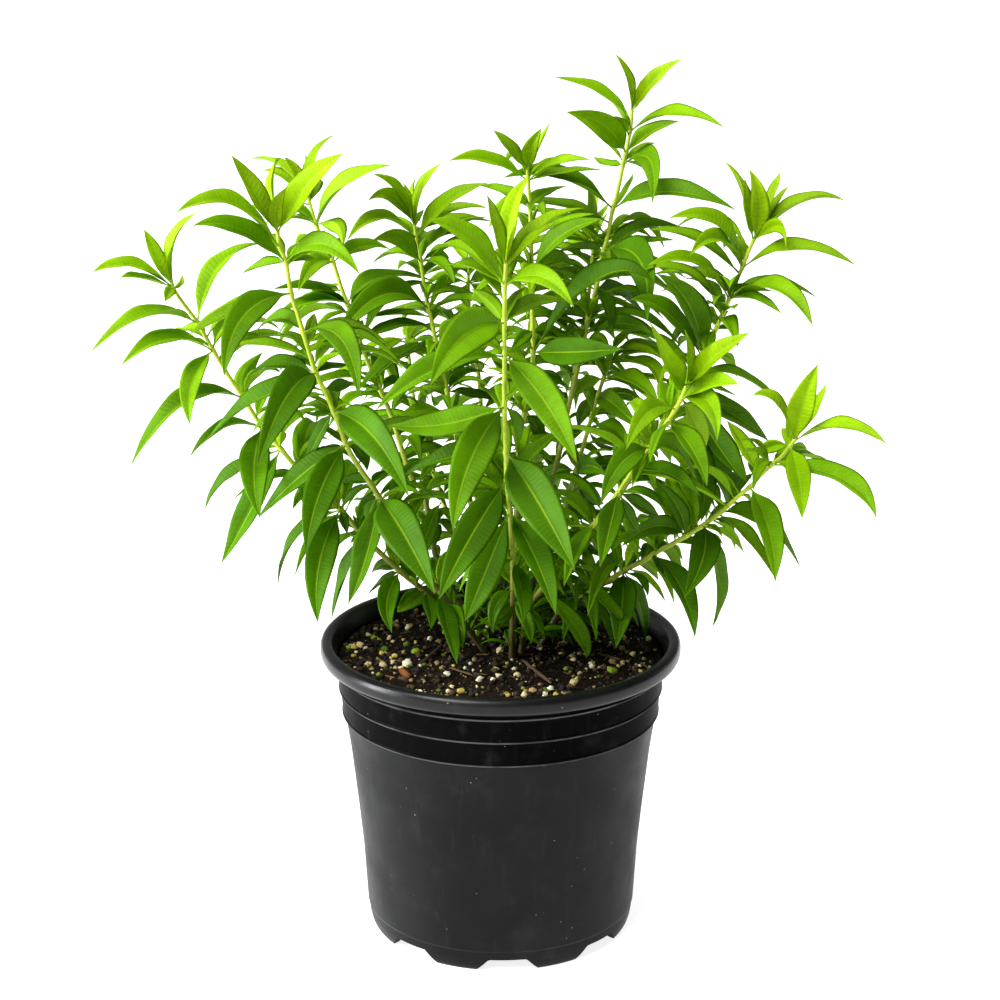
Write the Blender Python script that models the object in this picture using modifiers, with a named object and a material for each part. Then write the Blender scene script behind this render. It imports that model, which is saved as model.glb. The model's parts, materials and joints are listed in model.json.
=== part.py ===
"""Lemon verbena in a black nursery pot.

One turned pot with drain notches, the potting mix in it, and fourteen leafy shoots that stand in the mix.
A shoot is its stem with the growing tip and the small leaves that stay on it; each larger whorl of leaves is a
piece of its own, on a fine collar round the stem.  Metres, +Z up, origin at the middle of the underside.
"""

import math

import bmesh
import bpy
from mathutils import Vector
from mathutils.bvhtree import BVHTree

# ---------------------------------------------------------------------------
# Driving dimensions, millimetres unless a name says otherwise
# ---------------------------------------------------------------------------
MM = 0.001

# Front elevation sheet on which the shoots are set out.  It is drawn in central
# projection: eye in front of the pot, a little above it, looking slightly down.
EYE_BACK = 1192.4        # eye to pot axis, along Y
EYE_UP = 590.7           # eye above the base plane
EYE_PITCH = 16.637       # degrees below the horizontal
SHEET_FOCAL = 2400.0     # sheet units for one unit of slope
SHEET_U0, SHEET_V0 = 500.54, 500.0

RIM_R = 95.0             # outer radius of the rolled rim
RIM_Z = 158.5            # top of the rim
SOIL_Z = 149.0           # soil level at the crown
SOIL_R = 85.4            # soil radius at its surface

STEM_R_BASE = 2.3        # woody foot of a shoot
STEM_R_TIP = 1.02        # soft growing end
LEAF_RATIO = 0.235       # blade width over blade length
LEAF_FOLD = 0.27         # rise of each half blade towards its edge
LEAF_HALF_THICK = 0.66   # at the midrib
GAP = 0.35               # clearance between neighbouring pieces

SEED = 20

# ---------------------------------------------------------------------------
# The shoots.  path: (u, v, y) on the sheet from the tip down, y in mm behind the
# pot axis; foot: (x, y, z) in mm.  Each whorl: (flag, u, v, leaves), flag "T" for
# the growing tip, "S" for a whorl that is a piece of its own, "J" for one that
# stays on its stem.  Each leaf: (u, v half way, u, v at the tip, blade width on
# the sheet, true length in mm, side), length negative when the leaf comes
# forward; side -1 shows the paler underside.
# ---------------------------------------------------------------------------
SHOOTS = {
    "01": {
        "path": [(171, 284, -14), (180, 299, -12), (197, 322, -10), (213, 350, -7), (228, 375, -5), (243, 397, -3),
                 (262, 427, -1), (281, 449, 0), (297, 468, 1), (321, 492, 3), (343, 512, 5), (365, 538, 7),
                 (400, 571, 10), (421, 588, 12), (452, 614, 15)],
        "foot": (-12, 17, 147),
        "whorls": [
            ("T", 171, 284, [(130, 266, 92, 273, 11, -45), (141, 278, 120, 278, 5, -35), (155, 253, 144, 229, 14, -32),
                             (174, 243, 197, 213, 7, -42), (168, 294, 165, 302, 12, -22), (181, 285, 182, 274, 6, 18)]),
            ("S", 197, 322, [(147, 316, 90, 353, 11, -62), (221, 265, 265, 243, 15, 58)]),
            ("S", 214, 351, [(166, 339, 121, 366, 15, -58), (192, 383, 190, 425, 22, -52)]),
            ("S", 243, 397, [(184, 403, 130, 468, 18, -70), (246, 372, 263, 352, 18, 38, -1)]),
            ("S", 262, 427, [(225, 427, 189, 458, 10, -48), (254, 472, 260, 518, 31, -60)]),
            ("S", 282, 450, [(252, 508, 221, 564, 24, -66), (228, 478, 205, 511, 11, 55)]),
            ("S", 341, 511, [(296, 538, 278, 586, 6, 62), (319, 565, 318, 623, 31, -68), (345, 523, 347, 534, 10, -20)]),
            ("J", 367, 540, [(346, 575, 331, 621, 9, 55), (353, 535, 338, 546, 6, 30)]),
            ("J", 400, 571, [(387, 602, 392, 633, 22, -45), (383, 582, 367, 595, 4, 32), (384, 564, 371, 574, 12, 26)]),
            ("J", 426, 592, [(411, 596, 397, 608, 9, -28), (431, 610, 431, 629, 17, -40)]),
        ],
    },
    "02": {
        "path": [(277, 229, -66), (280, 247, -65), (286, 262, -64), (291, 293, -61), (298, 315, -58), (303, 332, -56),
                 (309, 352, -53), (316, 373, -50), (324, 390, -47), (334, 412, -43), (340, 428, -40), (347, 447, -37),
                 (359, 467, -33), (371, 484, -29), (379, 497, -27), (400, 535, -20), (428, 577, -12), (455, 610, -3)],
        "foot": (-9, 3, 147),
        "whorls": [
            ("T", 277, 229, [(252, 189, 231, 155, 18, -42), (273, 180, 281, 158, 5, 40), (306, 187, 344, 153, 24, -60),
                             (276, 207, 287, 187, 16, -28), (262, 212, 245, 207, 9, 30)]),
            ("J", 281, 247, [(230, 204, 176, 213, 14, -62)]),
            ("S", 286, 262, [(239, 229, 192, 226, 19, -52), (323, 244, 360, 275, 22, -48), (262, 266, 241, 274, 8, 38),
                             (299, 249, 314, 244, 14, 24, -1), (302, 260, 319, 258, 9, 30)]),
            ("S", 291, 294, [(243, 317, 224, 377, 31, -64), (235, 313, 189, 335, 14, 62, -1)]),
            ("S", 303, 332, [(281, 318, 256, 331, 14, 42), (341, 339, 359, 398, 28, -62)]),
            ("S", 316, 373, [(275, 365, 247, 378, 13, 50), (286, 398, 257, 467, 36, -70), (331, 368, 352, 365, 9, 35),
                             (303, 357, 283, 374, 13, 32)]),
            ("J", 325, 391, [(266, 396, 206, 441, 17, 66), (338, 385, 353, 384, 13, 28)]),
            ("S", 334, 412, [(373, 436, 409, 497, 38, -72), (318, 438, 306, 462, 14, 40), (318, 416, 303, 411, 5, 22)]),
            ("S", 346, 446, [(303, 474, 258, 518, 22, 62), (319, 495, 306, 554, 34, -68), (362, 455, 367, 472, 13, 30)]),
            ("J", 371, 485, [(356, 480, 336, 483, 12, 35), (379, 476, 389, 469, 7, 22), (352, 497, 339, 512, 5, 32)]),
            ("S", 379, 497, [(405, 536, 435, 594, 42, -72), (370, 513, 374, 530, 10, 30), (367, 555, 348, 605, 24, -62)]),
            ("J", 438, 589, [(448, 628, 457, 664, 19, -55)]),
        ],
    },
    "03": {
        "path": [(307, 195, 66), (311, 208, 65), (316, 225, 64), (325, 245, 62), (333, 262, 61), (341, 287, 59),
                 (347, 303, 57), (352, 318, 55), (358, 337, 53), (369, 365, 49), (381, 392, 45), (392, 418, 41),
                 (411, 477, 33), (424, 494, 31), (433, 545, 26), (440, 565, 25), (466, 612, 24)],
        "foot": (-5, 26, 147),
        "whorls": [
            ("T", 307, 195, [(280, 166, 251, 159, 6, 42), (283, 176, 262, 171, 11, 32), (297, 172, 284, 157, 12, -25),
                             (314, 158, 336, 134, 9, 40), (306, 172, 305, 152, 4, 25)]),
            ("S", 316, 225, [(344, 186, 392, 165, 13, -60), (300, 210, 280, 205, 10, -35), (336, 224, 343, 247, 17, -30, -1)]),
            ("S", 334, 262, [(314, 265, 298, 292, 19, -42), (363, 247, 391, 250, 14, 45)]),
            ("J", 347, 303, [(316, 290, 273, 289, 9, -56), (317, 301, 276, 314, 11, -58), (384, 277, 439, 283, 10, 62)]),
            ("J", 359, 339, [(397, 293, 437, 285, 10, 60), (400, 325, 431, 327, 11, 46)]),
            ("J", 381, 393, [(371, 390, 360, 398, 8, 24), (395, 380, 408, 384, 8, 30)]),
        ],
    },
    "04": {
        "path": [(414, 222, 78), (416, 236, 77), (419, 250, 76), (421, 262, 75), (424, 285, 73), (428, 306, 71),
                 (431, 318, 69), (436, 342, 65), (445, 381, 59), (450, 407, 55), (458, 445, 48), (468, 490, 41),
                 (482, 560, 34)],
        "foot": (-1, 34, 147),
        "whorls": [
            ("T", 414, 222, [(390, 195, 368, 201, 15, -34), (397, 192, 373, 174, 8, -38), (408, 200, 404, 183, 8, -22),
                             (413, 195, 416, 178, 5, 25), (422, 190, 442, 163, 9, -38)]),
            ("S", 416, 237, [(447, 203, 488, 183, 15, -52), (380, 218, 347, 241, 11, -48)]),
            ("J", 421, 262, [(398, 238, 372, 241, 19, -44), (396, 253, 372, 264, 7, 42), (441, 264, 455, 285, 12, -38),
                             (437, 254, 450, 259, 8, 25, -1)]),
            ("S", 428, 307, [(381, 296, 336, 342, 28, -68), (437, 296, 440, 284, 5, 18)]),
            ("J", 436, 342, [(396, 359, 358, 391, 10, -62), (424, 339, 410, 343, 7, 24)]),
            ("J", 447, 390, [(465, 374, 487, 373, 9, 36), (476, 396, 500, 398, 10, 40), (438, 402, 431, 391, 10, 24)]),
        ],
    },
    "05": {
        "path": [(506, 262, -86), (505, 285, -84), (504.5, 323, -79), (504.5, 356, -74), (504.5, 406, -66),
                 (506, 453, -58), (507, 480, -53), (510, 512, -46), (513, 560, -34), (513, 600, -20)],
        "foot": (6, -8, 147),
        "whorls": [
            ("T", 506, 262, [(495, 226, 487, 195, 13, -38), (512, 212, 529, 176, 19, -48), (541, 226, 584, 208, 11, 46),
                             (533, 240, 555, 222, 8, -30), (509, 232, 512, 206, 8, 28)]),
            ("S", 505, 285, [(470, 240, 428, 220, 22, -62), (542, 277, 574, 308, 22, -48), (462, 249, 428, 254, 12, 50),
                             (472, 266, 445, 267, 11, 42)]),
            ("S", 504.5, 323, [(462, 337, 430, 386, 42, -68), (537, 303, 575, 303, 14, 48), (514, 301, 526, 287, 10, 28),
                               (489, 302, 471, 289, 16, 36, -1)]),
            ("S", 504.5, 357, [(440, 368, 376, 410, 25, -74), (545, 402, 577, 463, 36, -74)]),
            ("S", 504.5, 407, [(470, 462, 453, 531, 40, -76), (446, 424, 388, 425, 28, 64), (517, 430, 513, 453, 10, 38)]),
            ("S", 506, 454, [(541, 507, 575, 571, 45, -78), (452, 457, 404, 476, 18, 58)]),
            ("S", 507, 480, [(469, 540, 439, 599, 38, -76)]),
            ("S", 510, 512, [(536, 560, 556, 615, 30, -70), (483, 578, 465, 621, 32, -60)]),
            ("J", 513, 560, [(522, 592, 523, 622, 18, -48)]),
        ],
    },
    "06": {
        "path": [(527, 167, 34), (528, 180, 34), (530, 208, 33), (532, 272, 30), (532, 310, 28), (533, 352, 25),
                 (531, 388, 22), (524, 415, 20), (519, 446, 18), (517, 500, 16), (515, 560, 14)],
        "foot": (8, 13, 147),
        "whorls": [
            ("T", 527, 167, [(508, 147, 493, 130, 12, -32), (531, 147, 542, 128, 16, -30), (541, 143, 551, 121, 4, 30)]),
            ("J", 528, 180, [(487, 161, 449, 161, 13, -50), (558, 164, 591, 160, 8, -42), (567, 172, 604, 170, 7, 48)]),
            ("J", 530, 208, [(503, 193, 477, 185, 11, 45), (541, 195, 568, 186, 11, 36)]),
            ("S", 532, 272, [(560, 237, 602, 219, 18, -56), (524, 266, 520, 258, 7, 15), (556, 257, 577, 270, 14, 36)]),
            ("J", 532, 332, [(553, 330, 572, 341, 7, 34), (521, 339, 510, 352, 14, -26), (552, 340, 571, 346, 9, 34)]),
            ("S", 533, 354, [(577, 352, 623, 349, 30, -68), (600, 278, 655, 285, 18, -76)]),
            ("J", 524, 415, [(538, 430, 541, 452, 14, 34)]),
        ],
    },
    "07": {
        "path": [(632, 108, 74), (631, 125, 73), (627, 148, 71), (624, 160, 70), (618, 190, 68), (613, 208, 67),
                 (608, 235, 65), (604, 250, 64), (601, 262, 63), (597, 285, 61), (592, 303, 59), (588, 320, 57),
                 (584, 340, 54), (577, 372, 50), (568, 410, 45), (560, 450, 40), (550, 490, 36), (535, 560, 32)],
        "foot": (16, 30, 147),
        "whorls": [
            ("T", 632, 108, [(627, 79, 615, 54, 8, -32), (654, 81, 682, 59, 14, -42), (638, 95, 641, 80, 9, -17)]),
            ("S", 630, 131, [(605, 96, 553, 77, 10, -56), (674, 114, 725, 128, 11, -58)]),
            ("S", 626, 153, [(650, 133, 680, 121, 13, -40), (602, 124, 566, 112, 26, -50)]),
            ("J", 623, 163, [(650, 160, 652, 204, 24, -42), (608, 165, 593, 156, 8, 28)]),
            ("S", 613, 208, [(560, 178, 503, 178, 14, -72), (670, 192, 737, 211, 19, -68), (627, 190, 633, 173, 6, 28)]),
            ("S", 605, 251, [(645, 228, 686, 230, 12, 50), (640, 261, 647, 322, 34, -64), (601, 244, 600, 233, 6, 18),
                             (580, 249, 556, 252, 6, 40)]),
            ("J", 597, 288, [(606, 306, 612, 335, 14, -44), (622, 296, 650, 322, 10, 55)]),
            ("J", 587, 321, [(566, 314, 543, 325, 5, 48)]),
            ("J", 584, 344, [(618, 324, 654, 336, 13, -52)]),
        ],
    },
    "08": {
        "path": [(755, 237, 26), (750, 248, 26), (746, 258, 25), (742, 268, 25), (737, 280, 25), (730, 297, 24),
                 (726, 307, 24), (720, 320, 23), (714, 333, 22), (701, 360, 21), (685, 392, 19), (665, 425, 18),
                 (640, 463, 17), (610, 510, 17), (575, 560, 18), (548, 604, 20)],
        "foot": (22, 21, 147),
        "whorls": [
            ("T", 755, 237, [(760, 202, 749, 169, 20, -38), (746, 205, 745, 178, 11, -34), (741, 190, 724, 161, 5, 44),
                             (773, 196, 780, 172, 10, -34), (776, 205, 789, 186, 8, 34), (800, 203, 846, 201, 8, -48),
                             (780, 226, 786, 249, 15, -32)]),
            ("S", 742, 267, [(716, 221, 667, 219, 15, -52), (716, 239, 690, 256, 13, -48), (796, 248, 857, 266, 13, -62),
                             (746, 252, 743, 243, 7, 16)]),
            ("S", 730, 298, [(694, 263, 647, 266, 10, -56), (778, 289, 813, 327, 16, -60), (755, 299, 782, 314, 9, -38)]),
            ("J", 716, 329, [(727, 328, 737, 334, 4, 18), (708, 345, 713, 364, 14, -30)]),
            ("S", 702, 358, [(689, 305, 657, 274, 26, -64), (666, 312, 630, 300, 18, -60)]),
            ("J", 685, 392, [(722, 452, 747, 482, 24, -66), (735, 416, 769, 442, 20, 62), (722, 404, 751, 414, 14, 40)]),
            ("J", 671, 415, [(700, 468, 701, 522, 28, -72), (722, 480, 719, 512, 20, 62)]),
        ],
    },
    "09": {
        "path": [(688, 382, -88), (683, 395, -86), (678, 405, -85), (668, 421, -81), (660, 432, -78), (650, 447, -73),
                 (640, 460, -68), (628, 478, -60), (615, 497, -52), (597, 520, -44), (585, 535, -39), (570, 552, -32),
                 (545, 585, -19), (527, 610, -9)],
        "foot": (11, 0, 147),
        "whorls": [
            ("T", 688, 382, [(714, 357, 751, 332, 20, -50), (688, 358, 685, 330, 9, -34), (668, 366, 650, 322, 20, -54),
                             (676, 372, 661, 374, 8, 26)]),
            ("S", 681, 399, [(713, 383, 739, 385, 18, -44), (710, 403, 717, 441, 24, -44), (697, 428, 703, 456, 20, 48)]),
            ("J", 676, 408, [(648, 413, 626, 450, 24, -50)]),
            ("S", 669, 421, [(692, 449, 707, 486, 22, -52), (657, 440, 650, 462, 10, -30)]),
            ("S", 650, 447, [(620, 465, 601, 504, 25, -50), (676, 449, 699, 489, 13, 50)]),
            ("J", 634, 470, [(668, 474, 700, 496, 15, -50)]),
            ("S", 618, 493, [(610, 528, 600, 567, 25, -54), (642, 494, 663, 508, 8, -38), (642, 507, 660, 517, 14, 36),
                             (630, 519, 640, 532, 12, 30)]),
        ],
    },
    "10": {
        "path": [(797, 437, -30), (790, 446, -29), (782, 456, -28), (773, 464, -27), (761, 475, -25), (751, 486, -24),
                 (741, 494, -23), (731, 503, -21), (721, 512, -20), (708, 522, -18), (696, 530, -16), (686, 536, -14),
                 (672, 544, -12), (657, 552, -10), (645, 560, -8), (633, 566, -6), (620, 573, -3), (608, 581, -1),
                 (590, 592, 3), (560, 612, 8)],
        "foot": (21, 9, 147),
        "whorls": [
            ("T", 797, 437, [(803, 401, 818, 364, 27, -46), (815, 410, 826, 383, 11, 36), (775, 401, 752, 396, 10, -38),
                             (841, 427, 887, 444, 12, -54)]),
            ("S", 790, 446, [(800, 482, 802, 519, 25, -50), (800, 446, 807, 449, 8, 16), (772, 446, 760, 455, 14, 26)]),
            ("S", 773, 464, [(842, 479, 876, 518, 20, -66), (761, 465, 753, 491, 14, -32)]),
            ("S", 751, 488, [(769, 530, 775, 582, 27, -62)]),
            ("J", 721, 513, [(764, 523, 801, 569, 16, 62)]),
            ("S", 704, 525, [(703, 558, 684, 598, 30, -48), (717, 583, 712, 627, 8, 62)]),
            ("J", 686, 536, [(678, 508, 655, 480, 17, -40), (655, 526, 621, 547, 21, -44)]),
            ("J", 655, 554, [(681, 588, 695, 638, 22, -60), (657, 567, 667, 580, 6, -26)]),
            ("S", 624, 571, [(622, 608, 616, 648, 28, -52), (640, 580, 648, 597, 8, -30), (640, 607, 645, 642, 14, 48),
                             (611, 559, 591, 572, 10, 36)]),
            ("J", 592, 592, [(579, 584, 576, 607, 13, -28)]),
        ],
    },
    "11": {
        "path": [(592, 228, 108), (593, 245, 106), (592, 262, 104), (588, 300, 98), (580, 340, 91), (570, 400, 80),
                 (560, 450, 70), (546, 520, 56)],
        "foot": (14, 42, 147),
        "whorls": [
            ("T", 592, 228, [(589, 207, 588, 184, 10, -38), (597, 211, 595, 188, 7, 34), (580, 217, 566, 209, 12, -26),
                             (602, 216, 609, 203, 8, 28)]),
            ("J", 593, 245, [(575, 243, 553, 250, 7, 34), (606, 240, 622, 238, 8, 34)]),
            ("J", 592, 265, [(580, 256, 560, 257, 5, 34), (608, 268, 620, 280, 12, -30)]),
        ],
    },
    "12": {
        "path": [(470, 262, 112), (468, 283, 111), (471, 328, 105), (478, 370, 97), (482, 420, 86), (488, 480, 70),
                 (496, 550, 54)],
        "foot": (3, 46, 147),
        "whorls": [
            ("T", 470, 262, [(476, 244, 474, 226, 12, 30), (458, 250, 447, 240, 9, 26)]),
            ("J", 468, 284, [(445, 283, 432, 304, 13, -38), (483, 274, 497, 281, 12, 30), (464, 297, 469, 308, 12, -24),
                             (486, 296, 492, 320, 15, -40)]),
            ("J", 471, 328, [(420, 310, 384, 313, 8, 52), (461, 308, 443, 317, 10, 34), (492, 338, 500, 352, 12, 34)]),
        ],
    },
    "13": {
        "path": [(406, 336, 118), (410, 365, 112), (414, 400, 104), (430, 460, 84), (458, 545, 58)],
        "foot": (-6, 48, 147),
        "whorls": [
            ("T", 406, 336, [(386, 347, 378, 364, 12, -32), (414, 346, 425, 358, 13, -28), (407, 327, 408, 317, 7, 20)]),
        ],
    },
    "14": {
        "path": [(612, 350, 66), (609, 363, 64), (598, 395, 58), (585, 440, 50), (570, 490, 42), (552, 550, 36)],
        "foot": (19, 38, 147),
        "whorls": [
            ("T", 612, 350, [(637, 349, 662, 358, 9, -40), (624, 337, 636, 334, 8, 26), (596, 338, 584, 346, 10, 30)]),
            ("J", 609, 363, [(631, 362, 653, 370, 5, 40), (649, 366, 659, 392, 12, -46)]),
            ("J", 603, 380, [(632, 379, 659, 403, 16, -54), (586, 384, 572, 400, 14, 34)]),
            ("S", 598, 396, [(615, 405, 640, 430, 22, -46), (626, 400, 648, 407, 7, 42), (585, 410, 578, 428, 14, 34)]),
            ("J", 588, 430, [(612, 428, 629, 450, 14, -44), (600, 447, 618, 447, 5, 30), (566, 440, 556, 458, 12, 30)]),
            ("J", 576, 468, [(592, 466, 607, 476, 20, -36), (590, 494, 604, 504, 16, 36), (556, 470, 540, 478, 16, 34)]),
        ],
    },
}

# ---------------------------------------------------------------------------
# Colours (linear RGB), one material per piece
# ---------------------------------------------------------------------------
POT_COLOUR = (0.016, 0.017, 0.019)
SOIL_COLOUR = (0.020, 0.013, 0.009)
STEM_COLOUR = (0.30, 0.40, 0.03)
LEAF_COLOUR = (0.085, 0.27, 0.012)

# Moulded pot: outside and inside half sections, (radius, height)
WALL = 1.6
POT_OUTSIDE = [(89.6, 158.2), (90.4, 159.4), (92.0, 160.0), (93.8, 159.4), (94.9, 157.6), (95.0, 155.0),
               (94.4, 152.2), (93.2, 151.0), (88.4, 151.0), (87.7, 150.0), (87.0, 146.2), (86.3, 145.2),
               (85.3, 133.4), (84.5, 132.6), (83.7, 120.2), (82.4, 119.2), (79.6, 100.0), (76.0, 67.0),
               (73.7, 43.0), (71.9, 12.2), (71.3, 11.2), (70.8, 0.0)]
POT_UNDERSIDE = [(65.0, 0.0), (62.6, 3.4), (50.0, 3.4), (47.0, 0.0), (0.0, 0.0)]
POT_FLOOR = [(0.0, 2.0), (46.0, 2.0), (49.0, 5.4), (66.5, 5.4), (69.3, 8.0)]
POT_INSIDE = [(70.3, 13.0), (72.1, 43.0), (74.4, 67.0), (78.0, 100.0), (80.9, 119.6), (82.1, 121.0),
              (82.9, 133.0), (83.7, 134.2), (84.8, 146.0), (86.1, 151.0), (87.6, 156.4)]
POT_STEPS = 32
NOTCHES = 8              # drain notches round the foot
NOTCH_FIRST = 3.0        # degrees to the right of the front
NOTCH_LOW, NOTCH_TOP, NOTCH_H = 26.0, 16.0, 7.0   # width in degrees at the foot and at the top, height

SOIL_SIDE = [(85.4, 149.3), (84.1, 145.5), (83.0, 134.6), (82.2, 132.4), (81.4, 121.4), (80.2, 119.0),
             (77.3, 99.6), (73.7, 66.6), (71.4, 42.6), (69.6, 13.2), (68.3, 8.6), (66.2, 5.9), (48.6, 5.9),
             (45.7, 2.5), (0.0, 2.5)]
SOIL_TOP = [(0.0, 150.2), (18.0, 150.1), (40.0, 149.7), (62.0, 149.5), (78.0, 149.7)]
SOIL_STEPS = 32
SOCKET_SLACK = 0.45      # room round each stem where it enters the soil

FOOT_DEEP = 4.0          # how far each shoot goes into the soil
RING_R = 0.63            # half thickness of the collar that carries a whorl
RING_SIDES = 6
LEAF_FOOT = 0.18         # share of a leaf in which it may join its neighbours
LEAF_SIMPLE = 40.0       # length under which a leaf is drawn with three edges
LEAF_STATIONS = {60.0: [0.0, 0.22, 0.5, 0.78, 1.0], 40.0: [0.0, 0.3, 0.68, 1.0], 0.0: [0.0, 0.42, 1.0]}
OUTLINE = [(0.0, 0.10), (0.08, 0.17), (0.14, 0.46), (0.24, 0.82), (0.34, 0.97), (0.42, 1.0), (0.58, 0.88),
           (0.72, 0.66), (0.80, 0.50), (0.90, 0.25), (1.0, 0.0)]


# ---------------------------------------------------------------------------
# Sheet to space
# ---------------------------------------------------------------------------
EYE = Vector((0.0, -EYE_BACK, EYE_UP))
PC, PS = math.cos(math.radians(EYE_PITCH)), math.sin(math.radians(EYE_PITCH))


def at(u, v, y):
    """The point seen at (u, v) on the sheet and lying y mm behind the pot axis."""
    a, b = (u - SHEET_U0) / SHEET_FOCAL, (SHEET_V0 - v) / SHEET_FOCAL
    reach = (y + EYE_BACK) / (PC + b * PS)
    return Vector((reach * a, y, EYE_UP + reach * (b * PC - PS)))


def on_sheet(p):
    far, high = p.y + EYE_BACK, p.z - EYE_UP
    depth, up = far * PC - high * PS, far * PS + high * PC
    return SHEET_U0 + SHEET_FOCAL * p.x / depth, SHEET_V0 - SHEET_FOCAL * up / depth


def at_length(base, u, v, length):
    """The depth on the line of sight through (u, v) at that distance from base; nearer the eye if it is negative."""
    p0, p1 = at(u, v, 0.0), at(u, v, 1.0)
    d, e = p1 - p0, p0 - base
    a, b, c = d.dot(d), 2.0 * d.dot(e), e.dot(e) - length * length
    disc = b * b - 4.0 * a * c
    root = math.sqrt(disc) if disc > 0.0 else 0.0
    return (-b + (root if length > 0.0 else -root)) / (2.0 * a)


def outline(t):
    for (t0, w0), (t1, w1) in zip(OUTLINE, OUTLINE[1:]):
        if t <= t1:
            return w0 + (w1 - w0) * (t - t0) / (t1 - t0)
    return 0.0


# ---------------------------------------------------------------------------
# Making meshes
# ---------------------------------------------------------------------------
def material(name, colour, rough):
    mat = bpy.data.materials.new(name)
    mat.use_nodes = True
    shader = mat.node_tree.nodes["Principled BSDF"]
    shader.inputs["Base Color"].default_value = (*colour, 1.0)
    shader.inputs["Roughness"].default_value = rough
    shader.inputs["Metallic"].default_value = 0.0
    return mat


def put(name, mesh, collection):
    obj = bpy.data.objects.new(name, mesh)
    collection.objects.link(obj)
    return obj


def drop(obj):
    bpy.data.objects.remove(obj)


def baked(obj, weld=True):
    """The object's mesh as its modifiers leave it; weld joins the caps of a curve to its sides."""
    bpy.context.view_layer.update()
    graph = bpy.context.evaluated_depsgraph_get()
    mesh = bpy.data.meshes.new_from_object(obj.evaluated_get(graph))
    if weld:
        bm = bmesh.new()
        bm.from_mesh(mesh)
        bmesh.ops.remove_doubles(bm, verts=bm.verts, dist=1e-6)
        bmesh.ops.recalc_face_normals(bm, faces=bm.faces)
        bm.to_mesh(mesh)
        bm.free()
    return mesh


def tube(name, points, radii, collection, cyclic=False, round_by=1):
    """A round bar through the points, in mm, as a curve made a mesh."""
    curve = bpy.data.curves.new(name, "CURVE")
    curve.dimensions = "3D"
    curve.bevel_depth = MM
    curve.bevel_resolution = round_by
    curve.use_fill_caps = not cyclic
    spline = curve.splines.new("POLY")
    spline.points.add(len(points) - 1)
    for point, p, r in zip(spline.points, points, radii):
        point.co = (*(p * MM), 1.0)
        point.radius = r
    spline.use_cyclic_u = cyclic
    wire = put(name + "_path", curve, collection)
    mesh = baked(wire)
    drop(wire)
    return mesh


def turned(name, profile, steps, collection):
    """A half section at +X, in mm, turned about the Z axis."""
    mesh = bpy.data.meshes.new(name)
    points = [(r * MM, 0.0, z * MM) for r, z in profile]
    mesh.from_pydata(points, [(i, i + 1) for i in range(len(points) - 1)], [])
    obj = put(name, mesh, collection)
    turn = obj.modifiers.new("turn", "SCREW")
    turn.steps = turn.render_steps = steps
    turn.use_merge_vertices = True
    turn.merge_threshold = 1e-5
    return obj


def fused(name, mesh, others, operation, collection, helpers):
    """mesh joined with, or cut by, the other meshes."""
    obj = put(name, mesh, collection)
    group = bpy.data.collections.new(name + "_with")
    helpers.children.link(group)
    tools = []
    for i, other in enumerate(others):
        tool = put(f"{name}_with_{i}", other, group)
        tool.hide_render = True
        tool.display_type = "WIRE"
        tools.append(tool)
    if tools:
        join = obj.modifiers.new("join", "BOOLEAN")
        join.operation = operation
        join.solver = "EXACT"
        join.operand_type = "COLLECTION"
        join.collection = group
        result = baked(obj, weld=False)
        obj.modifiers.clear()
        obj.data = result
    for tool in tools:
        drop(tool)
    bpy.data.collections.remove(group)
    return obj


def tree_of(mesh):
    return BVHTree.FromPolygons([v.co.copy() for v in mesh.vertices],
                                [tuple(p.vertices) for p in mesh.polygons])


class Placed:
    """A piece in its place, with the box and the search tree used to keep others off it.  outer is the part of a
    leaf beyond its foot, which keeps clear of the other leaves of its own piece too."""

    def __init__(self, owner, points, faces, outer=None):
        self.owner = owner
        self.outer = outer
        self.tree = BVHTree.FromPolygons(points, faces)
        self.low = [min(p[i] for p in points) for i in range(3)]
        self.high = [max(p[i] for p in points) for i in range(3)]

    def meets(self, other):
        for i in range(3):
            if self.low[i] > other.high[i] or other.low[i] > self.high[i]:
                return False
        return bool(self.tree.overlap(other.tree))


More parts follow.
